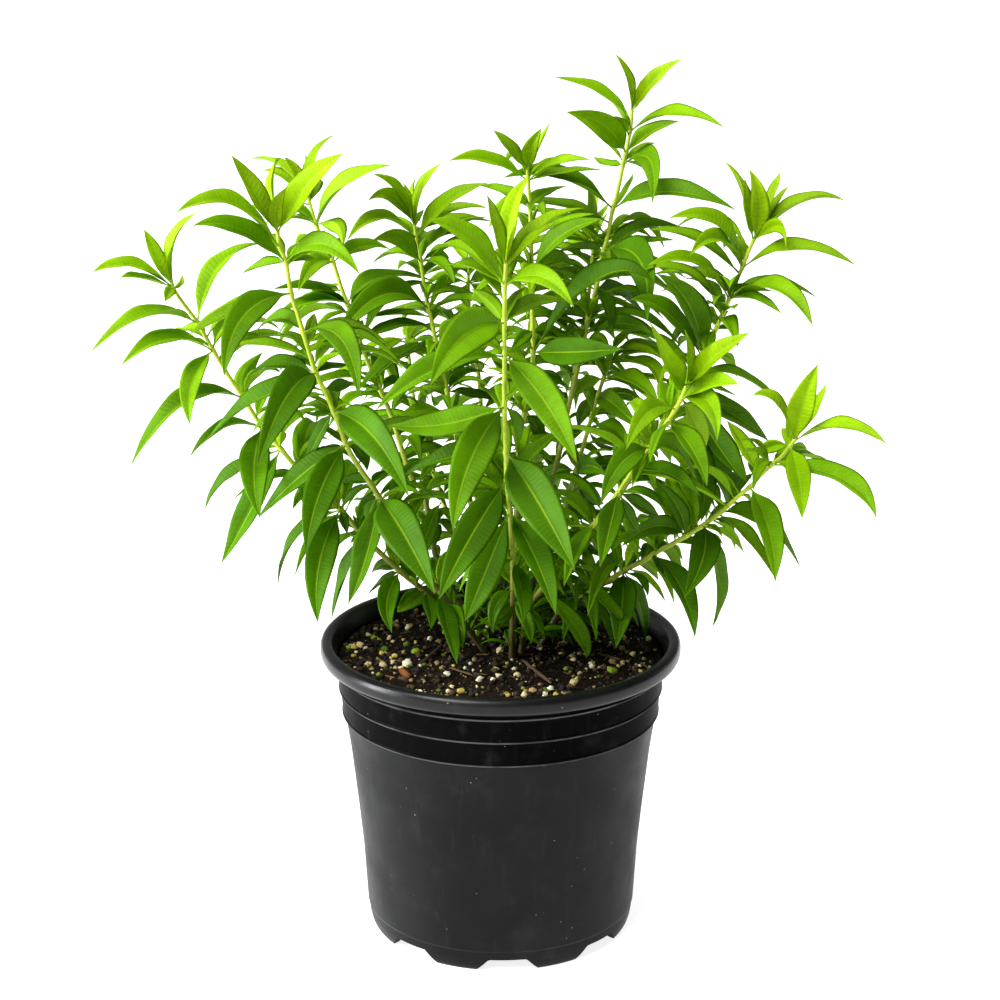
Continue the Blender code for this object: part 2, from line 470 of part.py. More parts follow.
# ---------------------------------------------------------------------------
# One leaf: a folded blade, thickest along its midrib, on an arched line
# ---------------------------------------------------------------------------
def blade(base, mid, tip, sheet_width, side, grow=0.0, start=0.0):
    chord = (tip - base).length
    depth = (mid - EYE).length
    seen = sheet_width * depth / SHEET_FOCAL
    wide = max(seen, LEAF_RATIO * chord)
    lean = math.acos(min(1.0, max(0.30, seen / wide)))
    bend = 2.0 * mid - (base + tip) * 0.5
    stations = next(rows for least, rows in LEAF_STATIONS.items() if chord >= least)
    if start:
        stations = [start] + [t for t in stations if t > start + 0.08]

    def line(t):
        p = base * (1 - t) ** 2 + bend * (2 * t * (1 - t)) + tip * t * t
        d = (bend - base) * (2 * (1 - t)) + (tip - bend) * (2 * t)
        return p, d.normalized()

    def across(t, turn):
        p, d = line(t)
        sight = (p - EYE).normalized()
        flat = d.cross(sight).normalized()
        s = flat * math.cos(turn) + d.cross(flat) * math.sin(turn)
        return p, s.normalized(), s.cross(d).normalized()

    # the face that shows is the upper one, or the lower if side is -1; of the two leans that show the blade
    # at its drawn width, the one that holds the upper face higher
    choices = []
    for turn in (lean, -lean):
        p, s, n = across(0.5, turn)
        way = -1.0 if n.dot((p - EYE).normalized()) * side > 0.0 else 1.0
        choices.append((n.z * way, turn, way))
    _, turn, way = max(choices)
    middle = across(0.5, turn)[1] * way
    points, faces = [], []
    for t in stations[:-1]:
        p, d = line(t)
        s = (middle - d * middle.dot(d)).normalized()
        n = s.cross(d).normalized()
        half = 0.5 * wide * outline(t) + grow
        thick = LEAF_HALF_THICK * (0.62 + 0.38 * min(1.0, t * 5)) * (1.0 - 0.35 * t) + grow
        if t == 0.0:
            half = 0.55 + grow
            thick = 0.42 + grow
        rise = LEAF_FOLD * max(0.0, half - 0.55)
        ring = [p - s * half + n * rise, p + n * thick, p + s * half + n * rise, p - n * thick]
        if chord < LEAF_SIMPLE:       # a small leaf is flat above, with a keel below
            ring = [ring[0], ring[2], ring[3]]
        points += ring
    points.append(line(1.0)[0])
    rows, n = len(stations) - 1, len(ring)
    # both skins of a half blade are split along the same diagonal, so they stay parallel
    for i in range(rows - 1):
        a, b = n * i, n * (i + 1)
        for k in range(n):
            j = (k + 1) % n
            if (k, j) in ((1, 2), (3, 0)) and n == 4 or (k, j) == (2, 0) and n == 3:
                faces += [(a + k, a + j, b + k), (a + j, b + j, b + k)]
            else:
                faces += [(a + k, a + j, b + j), (a + k, b + j, b + k)]
    a, end = n * (rows - 1), len(points) - 1
    faces += [(a + k, a + (k + 1) % n, end) for k in range(n)]
    faces += [(3, 2, 1), (3, 1, 0)] if n == 4 else [(2, 1, 0)]
    return points, faces


def leaf_mesh(name, points, faces):
    bm = bmesh.new()
    verts = [bm.verts.new(p * MM) for p in points]
    for face in faces:
        bm.faces.new([verts[i] for i in face])
    bmesh.ops.recalc_face_normals(bm, faces=bm.faces)
    mesh = bpy.data.meshes.new(name)
    bm.to_mesh(mesh)
    bm.free()
    return mesh


# ---------------------------------------------------------------------------
# The shoot lines
# ---------------------------------------------------------------------------
def shoot_line(shoot):
    """Points from under the soil to the growing tip, and the radius at each."""
    foot = Vector(shoot["foot"])
    above = [at(*p) for p in reversed(shoot["path"])]
    rise = (above[0] - foot).normalized()
    start = Vector((foot.x - rise.x * FOOT_DEEP * 0.3, foot.y - rise.y * FOOT_DEEP * 0.3, SOIL_Z - FOOT_DEEP))
    knee = foot.lerp(above[0], 0.45) + Vector((0.0, 0.0, 0.05 * (above[0] - foot).length))
    points = [start, Vector((foot.x, foot.y, SOIL_Z + 1.5)), knee] + above
    reach = [0.0]
    for p, q in zip(points, points[1:]):
        reach.append(reach[-1] + (q - p).length)
    radii = [STEM_R_BASE + (STEM_R_TIP - STEM_R_BASE) * (s / reach[-1]) ** 0.75 for s in reach]
    return points, radii


def on_shoot(points, radii, u, v):
    """The place on a shoot nearest to (u, v) on the sheet: point, direction and radius there."""
    best = None
    for i in range(len(points) - 1):
        for k in range(9):
            f = k / 8.0
            p = points[i].lerp(points[i + 1], f)
            pu, pv = on_sheet(p)
            off = math.hypot(pu - u, pv - v)
            if best is None or off < best[0]:
                best = (off, p, (points[i + 1] - points[i]).normalized(),
                        radii[i] + (radii[i + 1] - radii[i]) * f)
    return best[1:]


def ring_line(centre, direction, radius):
    side = direction.orthogonal().normalized()
    other = direction.cross(side)
    return [centre + (side * math.cos(a) + other * math.sin(a)) * radius
            for a in (2 * math.pi * k / RING_SIDES for k in range(RING_SIDES))]


def main():
    for obj in list(bpy.data.objects):
        bpy.data.objects.remove(obj)
    scene = bpy.context.scene
    whole = bpy.data.collections.new("lemon_verbena_in_pot")
    helpers = bpy.data.collections.new("cutters")
    helpers.hide_render = True
    scene.collection.children.link(whole)
    scene.collection.children.link(helpers)

    # stems first, then the collars, so that every leaf can keep clear of both
    lines, stems, placed = {}, {}, []
    for name, shoot in SHOOTS.items():
        lines[name] = shoot_line(shoot)
        stems[name] = tube("stem_" + name, *lines[name], helpers)
        points = [v.co / MM for v in stems[name].vertices]
        placed.append(Placed("stem_" + name, points, [tuple(p.vertices) for p in stems[name].polygons]))

    whorls = []                       # (name of the piece, its shoot, centre, direction, radius, leaves)
    for name, shoot in SHOOTS.items():
        count = 0
        for flag, u, v, leaves in shoot["whorls"]:
            centre, direction, radius = on_shoot(*lines[name], u, v)
            owner = "stem_" + name
            if flag == "S":
                count += 1
                owner = f"whorl_{name}_{count}"
            whorls.append((owner, flag, name, centre, direction, radius, leaves))
    rings = {}
    for owner, flag, name, centre, direction, radius, leaves in whorls:
        if flag != "S":
            continue
        ring = (radius + GAP + RING_R) / math.cos(math.pi / RING_SIDES)
        rings[owner] = tube(owner, ring_line(centre, direction, ring), [RING_R * 1.15] * RING_SIDES, helpers, True, 0)
        points = [v.co / MM for v in rings[owner].vertices]
        placed.append(Placed(owner, points, [tuple(p.vertices) for p in rings[owner].polygons]))

    # the leaves, nearest to the eye first
    jobs = []
    for order, (owner, flag, name, centre, direction, radius, leaves) in enumerate(whorls):
        for k, leaf in enumerate(leaves):
            jobs.append((owner, flag, name, centre, direction, radius, leaf, order, k))
    jobs.sort(key=lambda j: (-(abs(j[6][5]) > 33.0), j[3].y, j[7], j[8]))
    blades, lost = {}, 0
    for owner, flag, name, centre, direction, radius, leaf, order, k in jobs:
        mu, mv, tu, tv, wide, length = leaf[:6]
        side = leaf[6] if len(leaf) > 6 else 1
        depth = at_length(centre, tu, tv, length)
        aim = at(mu, mv, centre.y + 0.5 * (depth - centre.y)) - centre
        out = (aim - direction * aim.dot(direction)).normalized()
        base = centre + out * (radius + GAP + RING_R) if flag == "S" else centre + out * (radius * 0.1)
        if flag == "T":               # rooted a little below the end of the stem
            base -= direction * (1.6 + 0.19 * k)
        done = None
        for narrow, sway in ((1.0, 0.0), (1.0, 5.0), (1.0, -5.0), (0.8, 0.0), (0.8, 8.0), (0.8, -8.0), (0.6, 0.0)):
            for step in (0, 4, -4, 8, -8, 12, -12, 17, -17, 23, -23, 30, -30):
                far = depth + step
                bow = 0.5 if len(leaf) < 8 else leaf[7]
                tip = at(tu + sway * (tv - on_sheet(base)[1]) / 60.0, tv - sway * (tu - on_sheet(base)[0]) / 60.0, far)
                mid = at(mu, mv, base.y + bow * (far - base.y) - 0.04 * abs(length))
                points, faces = blade(base, mid, tip, wide * narrow, side, grow=0.12)
                outer = Placed(owner, *blade(base, mid, tip, wide * narrow, side, grow=0.12, start=LEAF_FOOT))
                trial = Placed(owner, points, faces, outer)
                clash = False
                for other in placed:
                    if other.owner != owner:
                        clash = other.meets(trial)
                    else:
                        clash = (other.outer or other).meets(outer)
                    if clash:
                        break
                if not clash:
                    done = blade(base, mid, tip, wide * narrow, side)
                    break
            if done:
                break
        if not done:
            lost += 1
            print("no room:", owner, leaf)
            continue
        placed.append(trial)
        blades.setdefault(owner, []).append(leaf_mesh(f"{owner}_leaf", *done))
    print("leaves", sum(len(b) for b in blades.values()), "lost", lost)

    made = []
    for name in SHOOTS:
        owner = "stem_" + name
        obj = fused(owner, stems[name], blades.get(owner, []), "UNION", whole, helpers)
        obj.data.materials.clear()
        obj.data.materials.append(material(owner, STEM_COLOUR, 0.55))
        made.append(obj)
    for owner, mesh in rings.items():
        obj = fused(owner, mesh, blades.get(owner, []), "UNION", whole, helpers)
        obj.data.materials.clear()
        obj.data.materials.append(material(owner, LEAF_COLOUR, 0.5))
        made.append(obj)

    # potting mix, with a socket for each stem
    soil = turned("soil", SOIL_TOP + SOIL_SIDE, SOIL_STEPS, whole)
    sockets = []
    for name, (points, radii) in lines.items():
        start = points[0] - (points[1] - points[0]).normalized() * SOCKET_SLACK
        sockets.append(tube("socket_" + name, [start] + points[1:3], [r + SOCKET_SLACK for r in radii[:3]], helpers))
    mesh = baked(soil)
    drop(soil)
    soil = fused("soil", mesh, sockets, "DIFFERENCE", whole, helpers)
    soil.data.materials.clear()
    soil.data.materials.append(material("soil", SOIL_COLOUR, 0.95))

    # nursery pot, with its drain notches
    pot = turned("nursery_pot", POT_FLOOR + POT_INSIDE + POT_OUTSIDE + POT_UNDERSIDE, POT_STEPS, whole)
    cutters = []
    for k in range(NOTCHES):
        angle = math.radians(-90.0 + NOTCH_FIRST + k * 360.0 / NOTCHES)
        out, along = Vector((math.cos(angle), math.sin(angle), 0)), Vector((-math.sin(angle), math.cos(angle), 0))
        low, top = (70.8 * math.radians(w / 2) for w in (NOTCH_LOW, NOTCH_TOP))
        low += (low - top) / NOTCH_H
        bm = bmesh.new()
        bmesh.ops.create_cube(bm, size=1.0)
        for v in bm.verts:
            half = low if v.co.z < 0 else top
            near = 57.0 if v.co.x < 0 else 78.0
            v.co = (out * near + along * math.copysign(half, v.co.y)
                    + Vector((0, 0, -1.0 if v.co.z < 0 else NOTCH_H))) * MM
        bmesh.ops.recalc_face_normals(bm, faces=bm.faces)
        notch = bpy.data.meshes.new(f"notch_{k}")
        bm.to_mesh(notch)
        bm.free()
        cutters.append(notch)
    mesh = baked(pot)
    drop(pot)
    pot = fused("nursery_pot", mesh, cutters, "DIFFERENCE", whole, helpers)
    pot.data.materials.clear()
    pot.data.materials.append(material("nursery_pot", POT_COLOUR, 0.42))

    for obj in (soil, pot, *made):
        obj.data.shade_smooth()
        obj.data.set_sharp_from_angle(angle=math.radians(35))


main()
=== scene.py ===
"""Looks of the lemon verbena in its nursery pot: fine leaf blades, stems, potting mix and pot round the fixed frame."""

import json
import math
import random

import bmesh
import bpy
import numpy as np
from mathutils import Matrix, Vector, noise
from mathutils.bvhtree import BVHTree

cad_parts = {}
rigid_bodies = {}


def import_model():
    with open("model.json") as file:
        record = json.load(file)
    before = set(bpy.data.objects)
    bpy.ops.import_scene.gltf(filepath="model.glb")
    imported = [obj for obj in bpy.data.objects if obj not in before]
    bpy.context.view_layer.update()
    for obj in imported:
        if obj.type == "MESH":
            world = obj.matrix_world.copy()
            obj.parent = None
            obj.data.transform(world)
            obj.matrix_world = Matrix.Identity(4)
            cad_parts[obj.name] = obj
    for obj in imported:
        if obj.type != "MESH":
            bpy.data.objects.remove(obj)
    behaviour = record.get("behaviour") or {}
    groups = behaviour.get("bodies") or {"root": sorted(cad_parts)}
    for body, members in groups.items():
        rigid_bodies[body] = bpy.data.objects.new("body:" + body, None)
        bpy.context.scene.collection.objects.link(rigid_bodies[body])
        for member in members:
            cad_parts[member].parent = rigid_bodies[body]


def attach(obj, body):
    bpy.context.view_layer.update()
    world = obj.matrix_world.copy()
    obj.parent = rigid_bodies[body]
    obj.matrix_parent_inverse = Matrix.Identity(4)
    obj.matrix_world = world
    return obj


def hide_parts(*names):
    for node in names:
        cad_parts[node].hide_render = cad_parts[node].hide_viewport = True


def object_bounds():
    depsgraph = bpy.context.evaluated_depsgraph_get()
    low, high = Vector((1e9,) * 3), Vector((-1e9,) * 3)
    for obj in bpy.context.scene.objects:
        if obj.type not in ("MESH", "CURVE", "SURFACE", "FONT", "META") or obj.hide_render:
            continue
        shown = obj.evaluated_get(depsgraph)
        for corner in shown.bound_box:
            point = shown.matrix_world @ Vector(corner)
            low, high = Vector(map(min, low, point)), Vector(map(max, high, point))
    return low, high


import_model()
CAD_BOX = [list(map(float, corner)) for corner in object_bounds()]

# ---------------------------------------------------------------------------
# Driving dimensions, millimetres unless a name says otherwise
# ---------------------------------------------------------------------------
MM = 0.001

# Front elevation sheet on which the shoots are set out.  It is drawn in central
# projection: eye in front of the pot, a little above it, looking slightly down.
EYE_BACK = 1192.4        # eye to pot axis, along Y
EYE_UP = 590.7           # eye above the base plane
EYE_PITCH = 16.637       # degrees below the horizontal
SHEET_FOCAL = 2400.0     # sheet units for one unit of slope
SHEET_U0, SHEET_V0 = 500.54, 500.0

RIM_R = 95.0             # outer radius of the rolled rim
RIM_Z = 158.5            # top of the rim
SOIL_Z = 149.0           # soil level at the crown
SOIL_R = 85.4            # soil radius at its surface

STEM_R_BASE = 2.3        # woody foot of a shoot
STEM_R_TIP = 1.02        # soft growing end
LEAF_RATIO = 0.235       # blade width over blade length
LEAF_FOLD = 0.27         # rise of each half blade towards its edge
LEAF_HALF_THICK = 0.66   # at the midrib
GAP = 0.35               # clearance between neighbouring pieces

SEED = 20

# ---------------------------------------------------------------------------
# The shoots.  path: (u, v, y) on the sheet from the tip down, y in mm behind the
# pot axis; foot: (x, y, z) in mm.  Each whorl: (flag, u, v, leaves), flag "T" for
# the growing tip, "S" for a whorl that is a piece of its own, "J" for one that
# stays on its stem.  Each leaf: (u, v half way, u, v at the tip, blade width on
# the sheet, true length in mm, side), length negative when the leaf comes
# forward; side -1 shows the paler underside.
# ---------------------------------------------------------------------------
SHOOTS = {
    "01": {
        "path": [(171, 284, -14), (180, 299, -12), (197, 322, -10), (213, 350, -7), (228, 375, -5), (243, 397, -3),
                 (262, 427, -1), (281, 449, 0), (297, 468, 1), (321, 492, 3), (343, 512, 5), (365, 538, 7),
                 (400, 571, 10), (421, 588, 12), (452, 614, 15)],
        "foot": (-12, 17, 147),
        "whorls": [
            ("T", 171, 284, [(130, 266, 92, 273, 11, -45), (141, 278, 120, 278, 5, -35), (155, 253, 144, 229, 14, -32),
                             (174, 243, 197, 213, 7, -42), (168, 294, 165, 302, 12, -22), (181, 285, 182, 274, 6, 18)]),
            ("S", 197, 322, [(147, 316, 90, 353, 11, -62), (221, 265, 265, 243, 15, 58)]),
            ("S", 214, 351, [(166, 339, 121, 366, 15, -58), (192, 383, 190, 425, 22, -52)]),
            ("S", 243, 397, [(184, 403, 130, 468, 18, -70), (246, 372, 263, 352, 18, 38, -1)]),
            ("S", 262, 427, [(225, 427, 189, 458, 10, -48), (254, 472, 260, 518, 31, -60)]),
            ("S", 282, 450, [(252, 508, 221, 564, 24, -66), (228, 478, 205, 511, 11, 55)]),
            ("S", 341, 511, [(296, 538, 278, 586, 6, 62), (319, 565, 318, 623, 31, -68), (345, 523, 347, 534, 10, -20)]),
            ("J", 367, 540, [(346, 575, 331, 621, 9, 55), (353, 535, 338, 546, 6, 30)]),
            ("J", 400, 571, [(387, 602, 392, 633, 22, -45), (383, 582, 367, 595, 4, 32), (384, 564, 371, 574, 12, 26)]),
            ("J", 426, 592, [(411, 596, 397, 608, 9, -28), (431, 610, 431, 629, 17, -40)]),
        ],
    },
    "02": {
        "path": [(277, 229, -66), (280, 247, -65), (286, 262, -64), (291, 293, -61), (298, 315, -58), (303, 332, -56),
                 (309, 352, -53), (316, 373, -50), (324, 390, -47), (334, 412, -43), (340, 428, -40), (347, 447, -37),
                 (359, 467, -33), (371, 484, -29), (379, 497, -27), (400, 535, -20), (428, 577, -12), (455, 610, -3)],
        "foot": (-9, 3, 147),
        "whorls": [
            ("T", 277, 229, [(252, 189, 231, 155, 18, -42), (273, 180, 281, 158, 5, 40), (306, 187, 344, 153, 24, -60),
                             (276, 207, 287, 187, 16, -28), (262, 212, 245, 207, 9, 30)]),
            ("J", 281, 247, [(230, 204, 176, 213, 14, -62)]),
            ("S", 286, 262, [(239, 229, 192, 226, 19, -52), (323, 244, 360, 275, 22, -48), (262, 266, 241, 274, 8, 38),
                             (299, 249, 314, 244, 14, 24, -1), (302, 260, 319, 258, 9, 30)]),
            ("S", 291, 294, [(243, 317, 224, 377, 31, -64), (235, 313, 189, 335, 14, 62, -1)]),
            ("S", 303, 332, [(281, 318, 256, 331, 14, 42), (341, 339, 359, 398, 28, -62)]),
            ("S", 316, 373, [(275, 365, 247, 378, 13, 50), (286, 398, 257, 467, 36, -70), (331, 368, 352, 365, 9, 35),
                             (303, 357, 283, 374, 13, 32)]),
            ("J", 325, 391, [(266, 396, 206, 441, 17, 66), (338, 385, 353, 384, 13, 28)]),
            ("S", 334, 412, [(373, 436, 409, 497, 38, -72), (318, 438, 306, 462, 14, 40), (318, 416, 303, 411, 5, 22)]),
            ("S", 346, 446, [(303, 474, 258, 518, 22, 62), (319, 495, 306, 554, 34, -68), (362, 455, 367, 472, 13, 30)]),
            ("J", 371, 485, [(356, 480, 336, 483, 12, 35), (379, 476, 389, 469, 7, 22), (352, 497, 339, 512, 5, 32)]),
            ("S", 379, 497, [(405, 536, 435, 594, 42, -72), (370, 513, 374, 530, 10, 30), (367, 555, 348, 605, 24, -62)]),
            ("J", 438, 589, [(448, 628, 457, 664, 19, -55)]),
        ],
    },
    "03": {
        "path": [(307, 195, 66), (311, 208, 65), (316, 225, 64), (325, 245, 62), (333, 262, 61), (341, 287, 59),
                 (347, 303, 57), (352, 318, 55), (358, 337, 53), (369, 365, 49), (381, 392, 45), (392, 418, 41),
                 (411, 477, 33), (424, 494, 31), (433, 545, 26), (440, 565, 25), (466, 612, 24)],
        "foot": (-5, 26, 147),
        "whorls": [
            ("T", 307, 195, [(280, 166, 251, 159, 6, 42), (283, 176, 262, 171, 11, 32), (297, 172, 284, 157, 12, -25),
                             (314, 158, 336, 134, 9, 40), (306, 172, 305, 152, 4, 25)]),
            ("S", 316, 225, [(344, 186, 392, 165, 13, -60), (300, 210, 280, 205, 10, -35), (336, 224, 343, 247, 17, -30, -1)]),
            ("S", 334, 262, [(314, 265, 298, 292, 19, -42), (363, 247, 391, 250, 14, 45)]),
            ("J", 347, 303, [(316, 290, 273, 289, 9, -56), (317, 301, 276, 314, 11, -58), (384, 277, 439, 283, 10, 62)]),
            ("J", 359, 339, [(397, 293, 437, 285, 10, 60), (400, 325, 431, 327, 11, 46)]),
            ("J", 381, 393, [(371, 390, 360, 398, 8, 24), (395, 380, 408, 384, 8, 30)]),
        ],
    },
    "04": {
        "path": [(414, 222, 78), (416, 236, 77), (419, 250, 76), (421, 262, 75), (424, 285, 73), (428, 306, 71),
                 (431, 318, 69), (436, 342, 65), (445, 381, 59), (450, 407, 55), (458, 445, 48), (468, 490, 41),
                 (482, 560, 34)],
        "foot": (-1, 34, 147),
        "whorls": [
            ("T", 414, 222, [(390, 195, 368, 201, 15, -34), (397, 192, 373, 174, 8, -38), (408, 200, 404, 183, 8, -22),
                             (413, 195, 416, 178, 5, 25), (422, 190, 442, 163, 9, -38)]),
            ("S", 416, 237, [(447, 203, 488, 183, 15, -52), (380, 218, 347, 241, 11, -48)]),
            ("J", 421, 262, [(398, 238, 372, 241, 19, -44), (396, 253, 372, 264, 7, 42), (441, 264, 455, 285, 12, -38),
                             (437, 254, 450, 259, 8, 25, -1)]),
            ("S", 428, 307, [(381, 296, 336, 342, 28, -68), (437, 296, 440, 284, 5, 18)]),
            ("J", 436, 342, [(396, 359, 358, 391, 10, -62), (424, 339, 410, 343, 7, 24)]),
            ("J", 447, 390, [(465, 374, 487, 373, 9, 36), (476, 396, 500, 398, 10, 40), (438, 402, 431, 391, 10, 24)]),
        ],
    },
    "05": {
        "path": [(506, 262, -86), (505, 285, -84), (504.5, 323, -79), (504.5, 356, -74), (504.5, 406, -66),
                 (506, 453, -58), (507, 480, -53), (510, 512, -46), (513, 560, -34), (513, 600, -20)],
        "foot": (6, -8, 147),
        "whorls": [
            ("T", 506, 262, [(495, 226, 487, 195, 13, -38), (512, 212, 529, 176, 19, -48), (541, 226, 584, 208, 11, 46),
                             (533, 240, 555, 222, 8, -30), (509, 232, 512, 206, 8, 28)]),
            ("S", 505, 285, [(470, 240, 428, 220, 22, -62), (542, 277, 574, 308, 22, -48), (462, 249, 428, 254, 12, 50),
                             (472, 266, 445, 267, 11, 42)]),
            ("S", 504.5, 323, [(462, 337, 430, 386, 42, -68), (537, 303, 575, 303, 14, 48), (514, 301, 526, 287, 10, 28),
                               (489, 302, 471, 289, 16, 36, -1)]),
            ("S", 504.5, 357, [(440, 368, 376, 410, 25, -74), (545, 402, 577, 463, 36, -74)]),
            ("S", 504.5, 407, [(470, 462, 453, 531, 40, -76), (446, 424, 388, 425, 28, 64), (517, 430, 513, 453, 10, 38)]),
            ("S", 506, 454, [(541, 507, 575, 571, 45, -78), (452, 457, 404, 476, 18, 58)]),
            ("S", 507, 480, [(469, 540, 439, 599, 38, -76)]),
            ("S", 510, 512, [(536, 560, 556, 615, 30, -70), (483, 578, 465, 621, 32, -60)]),
            ("J", 513, 560, [(522, 592, 523, 622, 18, -48)]),
        ],
    },
    "06": {
        "path": [(527, 167, 34), (528, 180, 34), (530, 208, 33), (532, 272, 30), (532, 310, 28), (533, 352, 25),
                 (531, 388, 22), (524, 415, 20), (519, 446, 18), (517, 500, 16), (515, 560, 14)],
        "foot": (8, 13, 147),
        "whorls": [
            ("T", 527, 167, [(508, 147, 493, 130, 12, -32), (531, 147, 542, 128, 16, -30), (541, 143, 551, 121, 4, 30)]),
            ("J", 528, 180, [(487, 161, 449, 161, 13, -50), (558, 164, 591, 160, 8, -42), (567, 172, 604, 170, 7, 48)]),
            ("J", 530, 208, [(503, 193, 477, 185, 11, 45), (541, 195, 568, 186, 11, 36)]),
            ("S", 532, 272, [(560, 237, 602, 219, 18, -56), (524, 266, 520, 258, 7, 15), (556, 257, 577, 270, 14, 36)]),
            ("J", 532, 332, [(553, 330, 572, 341, 7, 34), (521, 339, 510, 352, 14, -26), (552, 340, 571, 346, 9, 34)]),
            ("S", 533, 354, [(577, 352, 623, 349, 30, -68), (600, 278, 655, 285, 18, -76)]),
            ("J", 524, 415, [(538, 430, 541, 452, 14, 34)]),
        ],
    },
    "07": {
        "path": [(632, 108, 74), (631, 125, 73), (627, 148, 71), (624, 160, 70), (618, 190, 68), (613, 208, 67),
                 (608, 235, 65), (604, 250, 64), (601, 262, 63), (597, 285, 61), (592, 303, 59), (588, 320, 57),
                 (584, 340, 54), (577, 372, 50), (568, 410, 45), (560, 450, 40), (550, 490, 36), (535, 560, 32)],
        "foot": (16, 30, 147),
        "whorls": [
            ("T", 632, 108, [(627, 79, 615, 54, 8, -32), (654, 81, 682, 59, 14, -42), (638, 95, 641, 80, 9, -17)]),
            ("S", 630, 131, [(605, 96, 553, 77, 10, -56), (674, 114, 725, 128, 11, -58)]),
            ("S", 626, 153, [(650, 133, 680, 121, 13, -40), (602, 124, 566, 112, 26, -50)]),
            ("J", 623, 163, [(650, 160, 652, 204, 24, -42), (608, 165, 593, 156, 8, 28)]),
            ("S", 613, 208, [(560, 178, 503, 178, 14, -72), (670, 192, 737, 211, 19, -68), (627, 190, 633, 173, 6, 28)]),
            ("S", 605, 251, [(645, 228, 686, 230, 12, 50), (640, 261, 647, 322, 34, -64), (601, 244, 600, 233, 6, 18),
                             (580, 249, 556, 252, 6, 40)]),
            ("J", 597, 288, [(606, 306, 612, 335, 14, -44), (622, 296, 650, 322, 10, 55)]),
            ("J", 587, 321, [(566, 314, 543, 325, 5, 48)]),
            ("J", 584, 344, [(618, 324, 654, 336, 13, -52)]),
        ],
    },
    "08": {
        "path": [(755, 237, 26), (750, 248, 26), (746, 258, 25), (742, 268, 25), (737, 280, 25), (730, 297, 24),
                 (726, 307, 24), (720, 320, 23), (714, 333, 22), (701, 360, 21), (685, 392, 19), (665, 425, 18),
                 (640, 463, 17), (610, 510, 17), (575, 560, 18), (548, 604, 20)],
        "foot": (22, 21, 147),
        "whorls": [
            ("T", 755, 237, [(760, 202, 749, 169, 20, -38), (746, 205, 745, 178, 11, -34), (741, 190, 724, 161, 5, 44),
                             (773, 196, 780, 172, 10, -34), (776, 205, 789, 186, 8, 34), (800, 203, 846, 201, 8, -48),
                             (780, 226, 786, 249, 15, -32)]),
            ("S", 742, 267, [(716, 221, 667, 219, 15, -52), (716, 239, 690, 256, 13, -48), (796, 248, 857, 266, 13, -62),
                             (746, 252, 743, 243, 7, 16)]),
            ("S", 730, 298, [(694, 263, 647, 266, 10, -56), (778, 289, 813, 327, 16, -60), (755, 299, 782, 314, 9, -38)]),
            ("J", 716, 329, [(727, 328, 737, 334, 4, 18), (708, 345, 713, 364, 14, -30)]),
            ("S", 702, 358, [(689, 305, 657, 274, 26, -64), (666, 312, 630, 300, 18, -60)]),
            ("J", 685, 392, [(722, 452, 747, 482, 24, -66), (735, 416, 769, 442, 20, 62), (722, 404, 751, 414, 14, 40)]),
            ("J", 671, 415, [(700, 468, 701, 522, 28, -72), (722, 480, 719, 512, 20, 62)]),
        ],
    },
    "09": {
        "path": [(688, 382, -88), (683, 395, -86), (678, 405, -85), (668, 421, -81), (660, 432, -78), (650, 447, -73),
                 (640, 460, -68), (628, 478, -60), (615, 497, -52), (597, 520, -44), (585, 535, -39), (570, 552, -32),
                 (545, 585, -19), (527, 610, -9)],
        "foot": (11, 0, 147),
        "whorls": [
            ("T", 688, 382, [(714, 357, 751, 332, 20, -50), (688, 358, 685, 330, 9, -34), (668, 366, 650, 322, 20, -54),
                             (676, 372, 661, 374, 8, 26)]),
            ("S", 681, 399, [(713, 383, 739, 385, 18, -44), (710, 403, 717, 441, 24, -44), (697, 428, 703, 456, 20, 48)]),
            ("J", 676, 408, [(648, 413, 626, 450, 24, -50)]),
            ("S", 669, 421, [(692, 449, 707, 486, 22, -52), (657, 440, 650, 462, 10, -30)]),
            ("S", 650, 447, [(620, 465, 601, 504, 25, -50), (676, 449, 699, 489, 13, 50)]),
            ("J", 634, 470, [(668, 474, 700, 496, 15, -50)]),
            ("S", 618, 493, [(610, 528, 600, 567, 25, -54), (642, 494, 663, 508, 8, -38), (642, 507, 660, 517, 14, 36),
                             (630, 519, 640, 532, 12, 30)]),
        ],
    },
    "10": {
        "path": [(797, 437, -30), (790, 446, -29), (782, 456, -28), (773, 464, -27), (761, 475, -25), (751, 486, -24),
                 (741, 494, -23), (731, 503, -21), (721, 512, -20), (708, 522, -18), (696, 530, -16), (686, 536, -14),
                 (672, 544, -12), (657, 552, -10), (645, 560, -8), (633, 566, -6), (620, 573, -3), (608, 581, -1),
                 (590, 592, 3), (560, 612, 8)],
        "foot": (21, 9, 147),
        "whorls": [
            ("T", 797, 437, [(803, 401, 818, 364, 27, -46), (815, 410, 826, 383, 11, 36), (775, 401, 752, 396, 10, -38),
                             (841, 427, 887, 444, 12, -54)]),
            ("S", 790, 446, [(800, 482, 802, 519, 25, -50), (800, 446, 807, 449, 8, 16), (772, 446, 760, 455, 14, 26)]),
            ("S", 773, 464, [(842, 479, 876, 518, 20, -66), (761, 465, 753, 491, 14, -32)]),
            ("S", 751, 488, [(769, 530, 775, 582, 27, -62)]),
            ("J", 721, 513, [(764, 523, 801, 569, 16, 62)]),
            ("S", 704, 525, [(703, 558, 684, 598, 30, -48), (717, 583, 712, 627, 8, 62)]),
            ("J", 686, 536, [(678, 508, 655, 480, 17, -40), (655, 526, 621, 547, 21, -44)]),
            ("J", 655, 554, [(681, 588, 695, 638, 22, -60), (657, 567, 667, 580, 6, -26)]),
            ("S", 624, 571, [(622, 608, 616, 648, 28, -52), (640, 580, 648, 597, 8, -30), (640, 607, 645, 642, 14, 48),
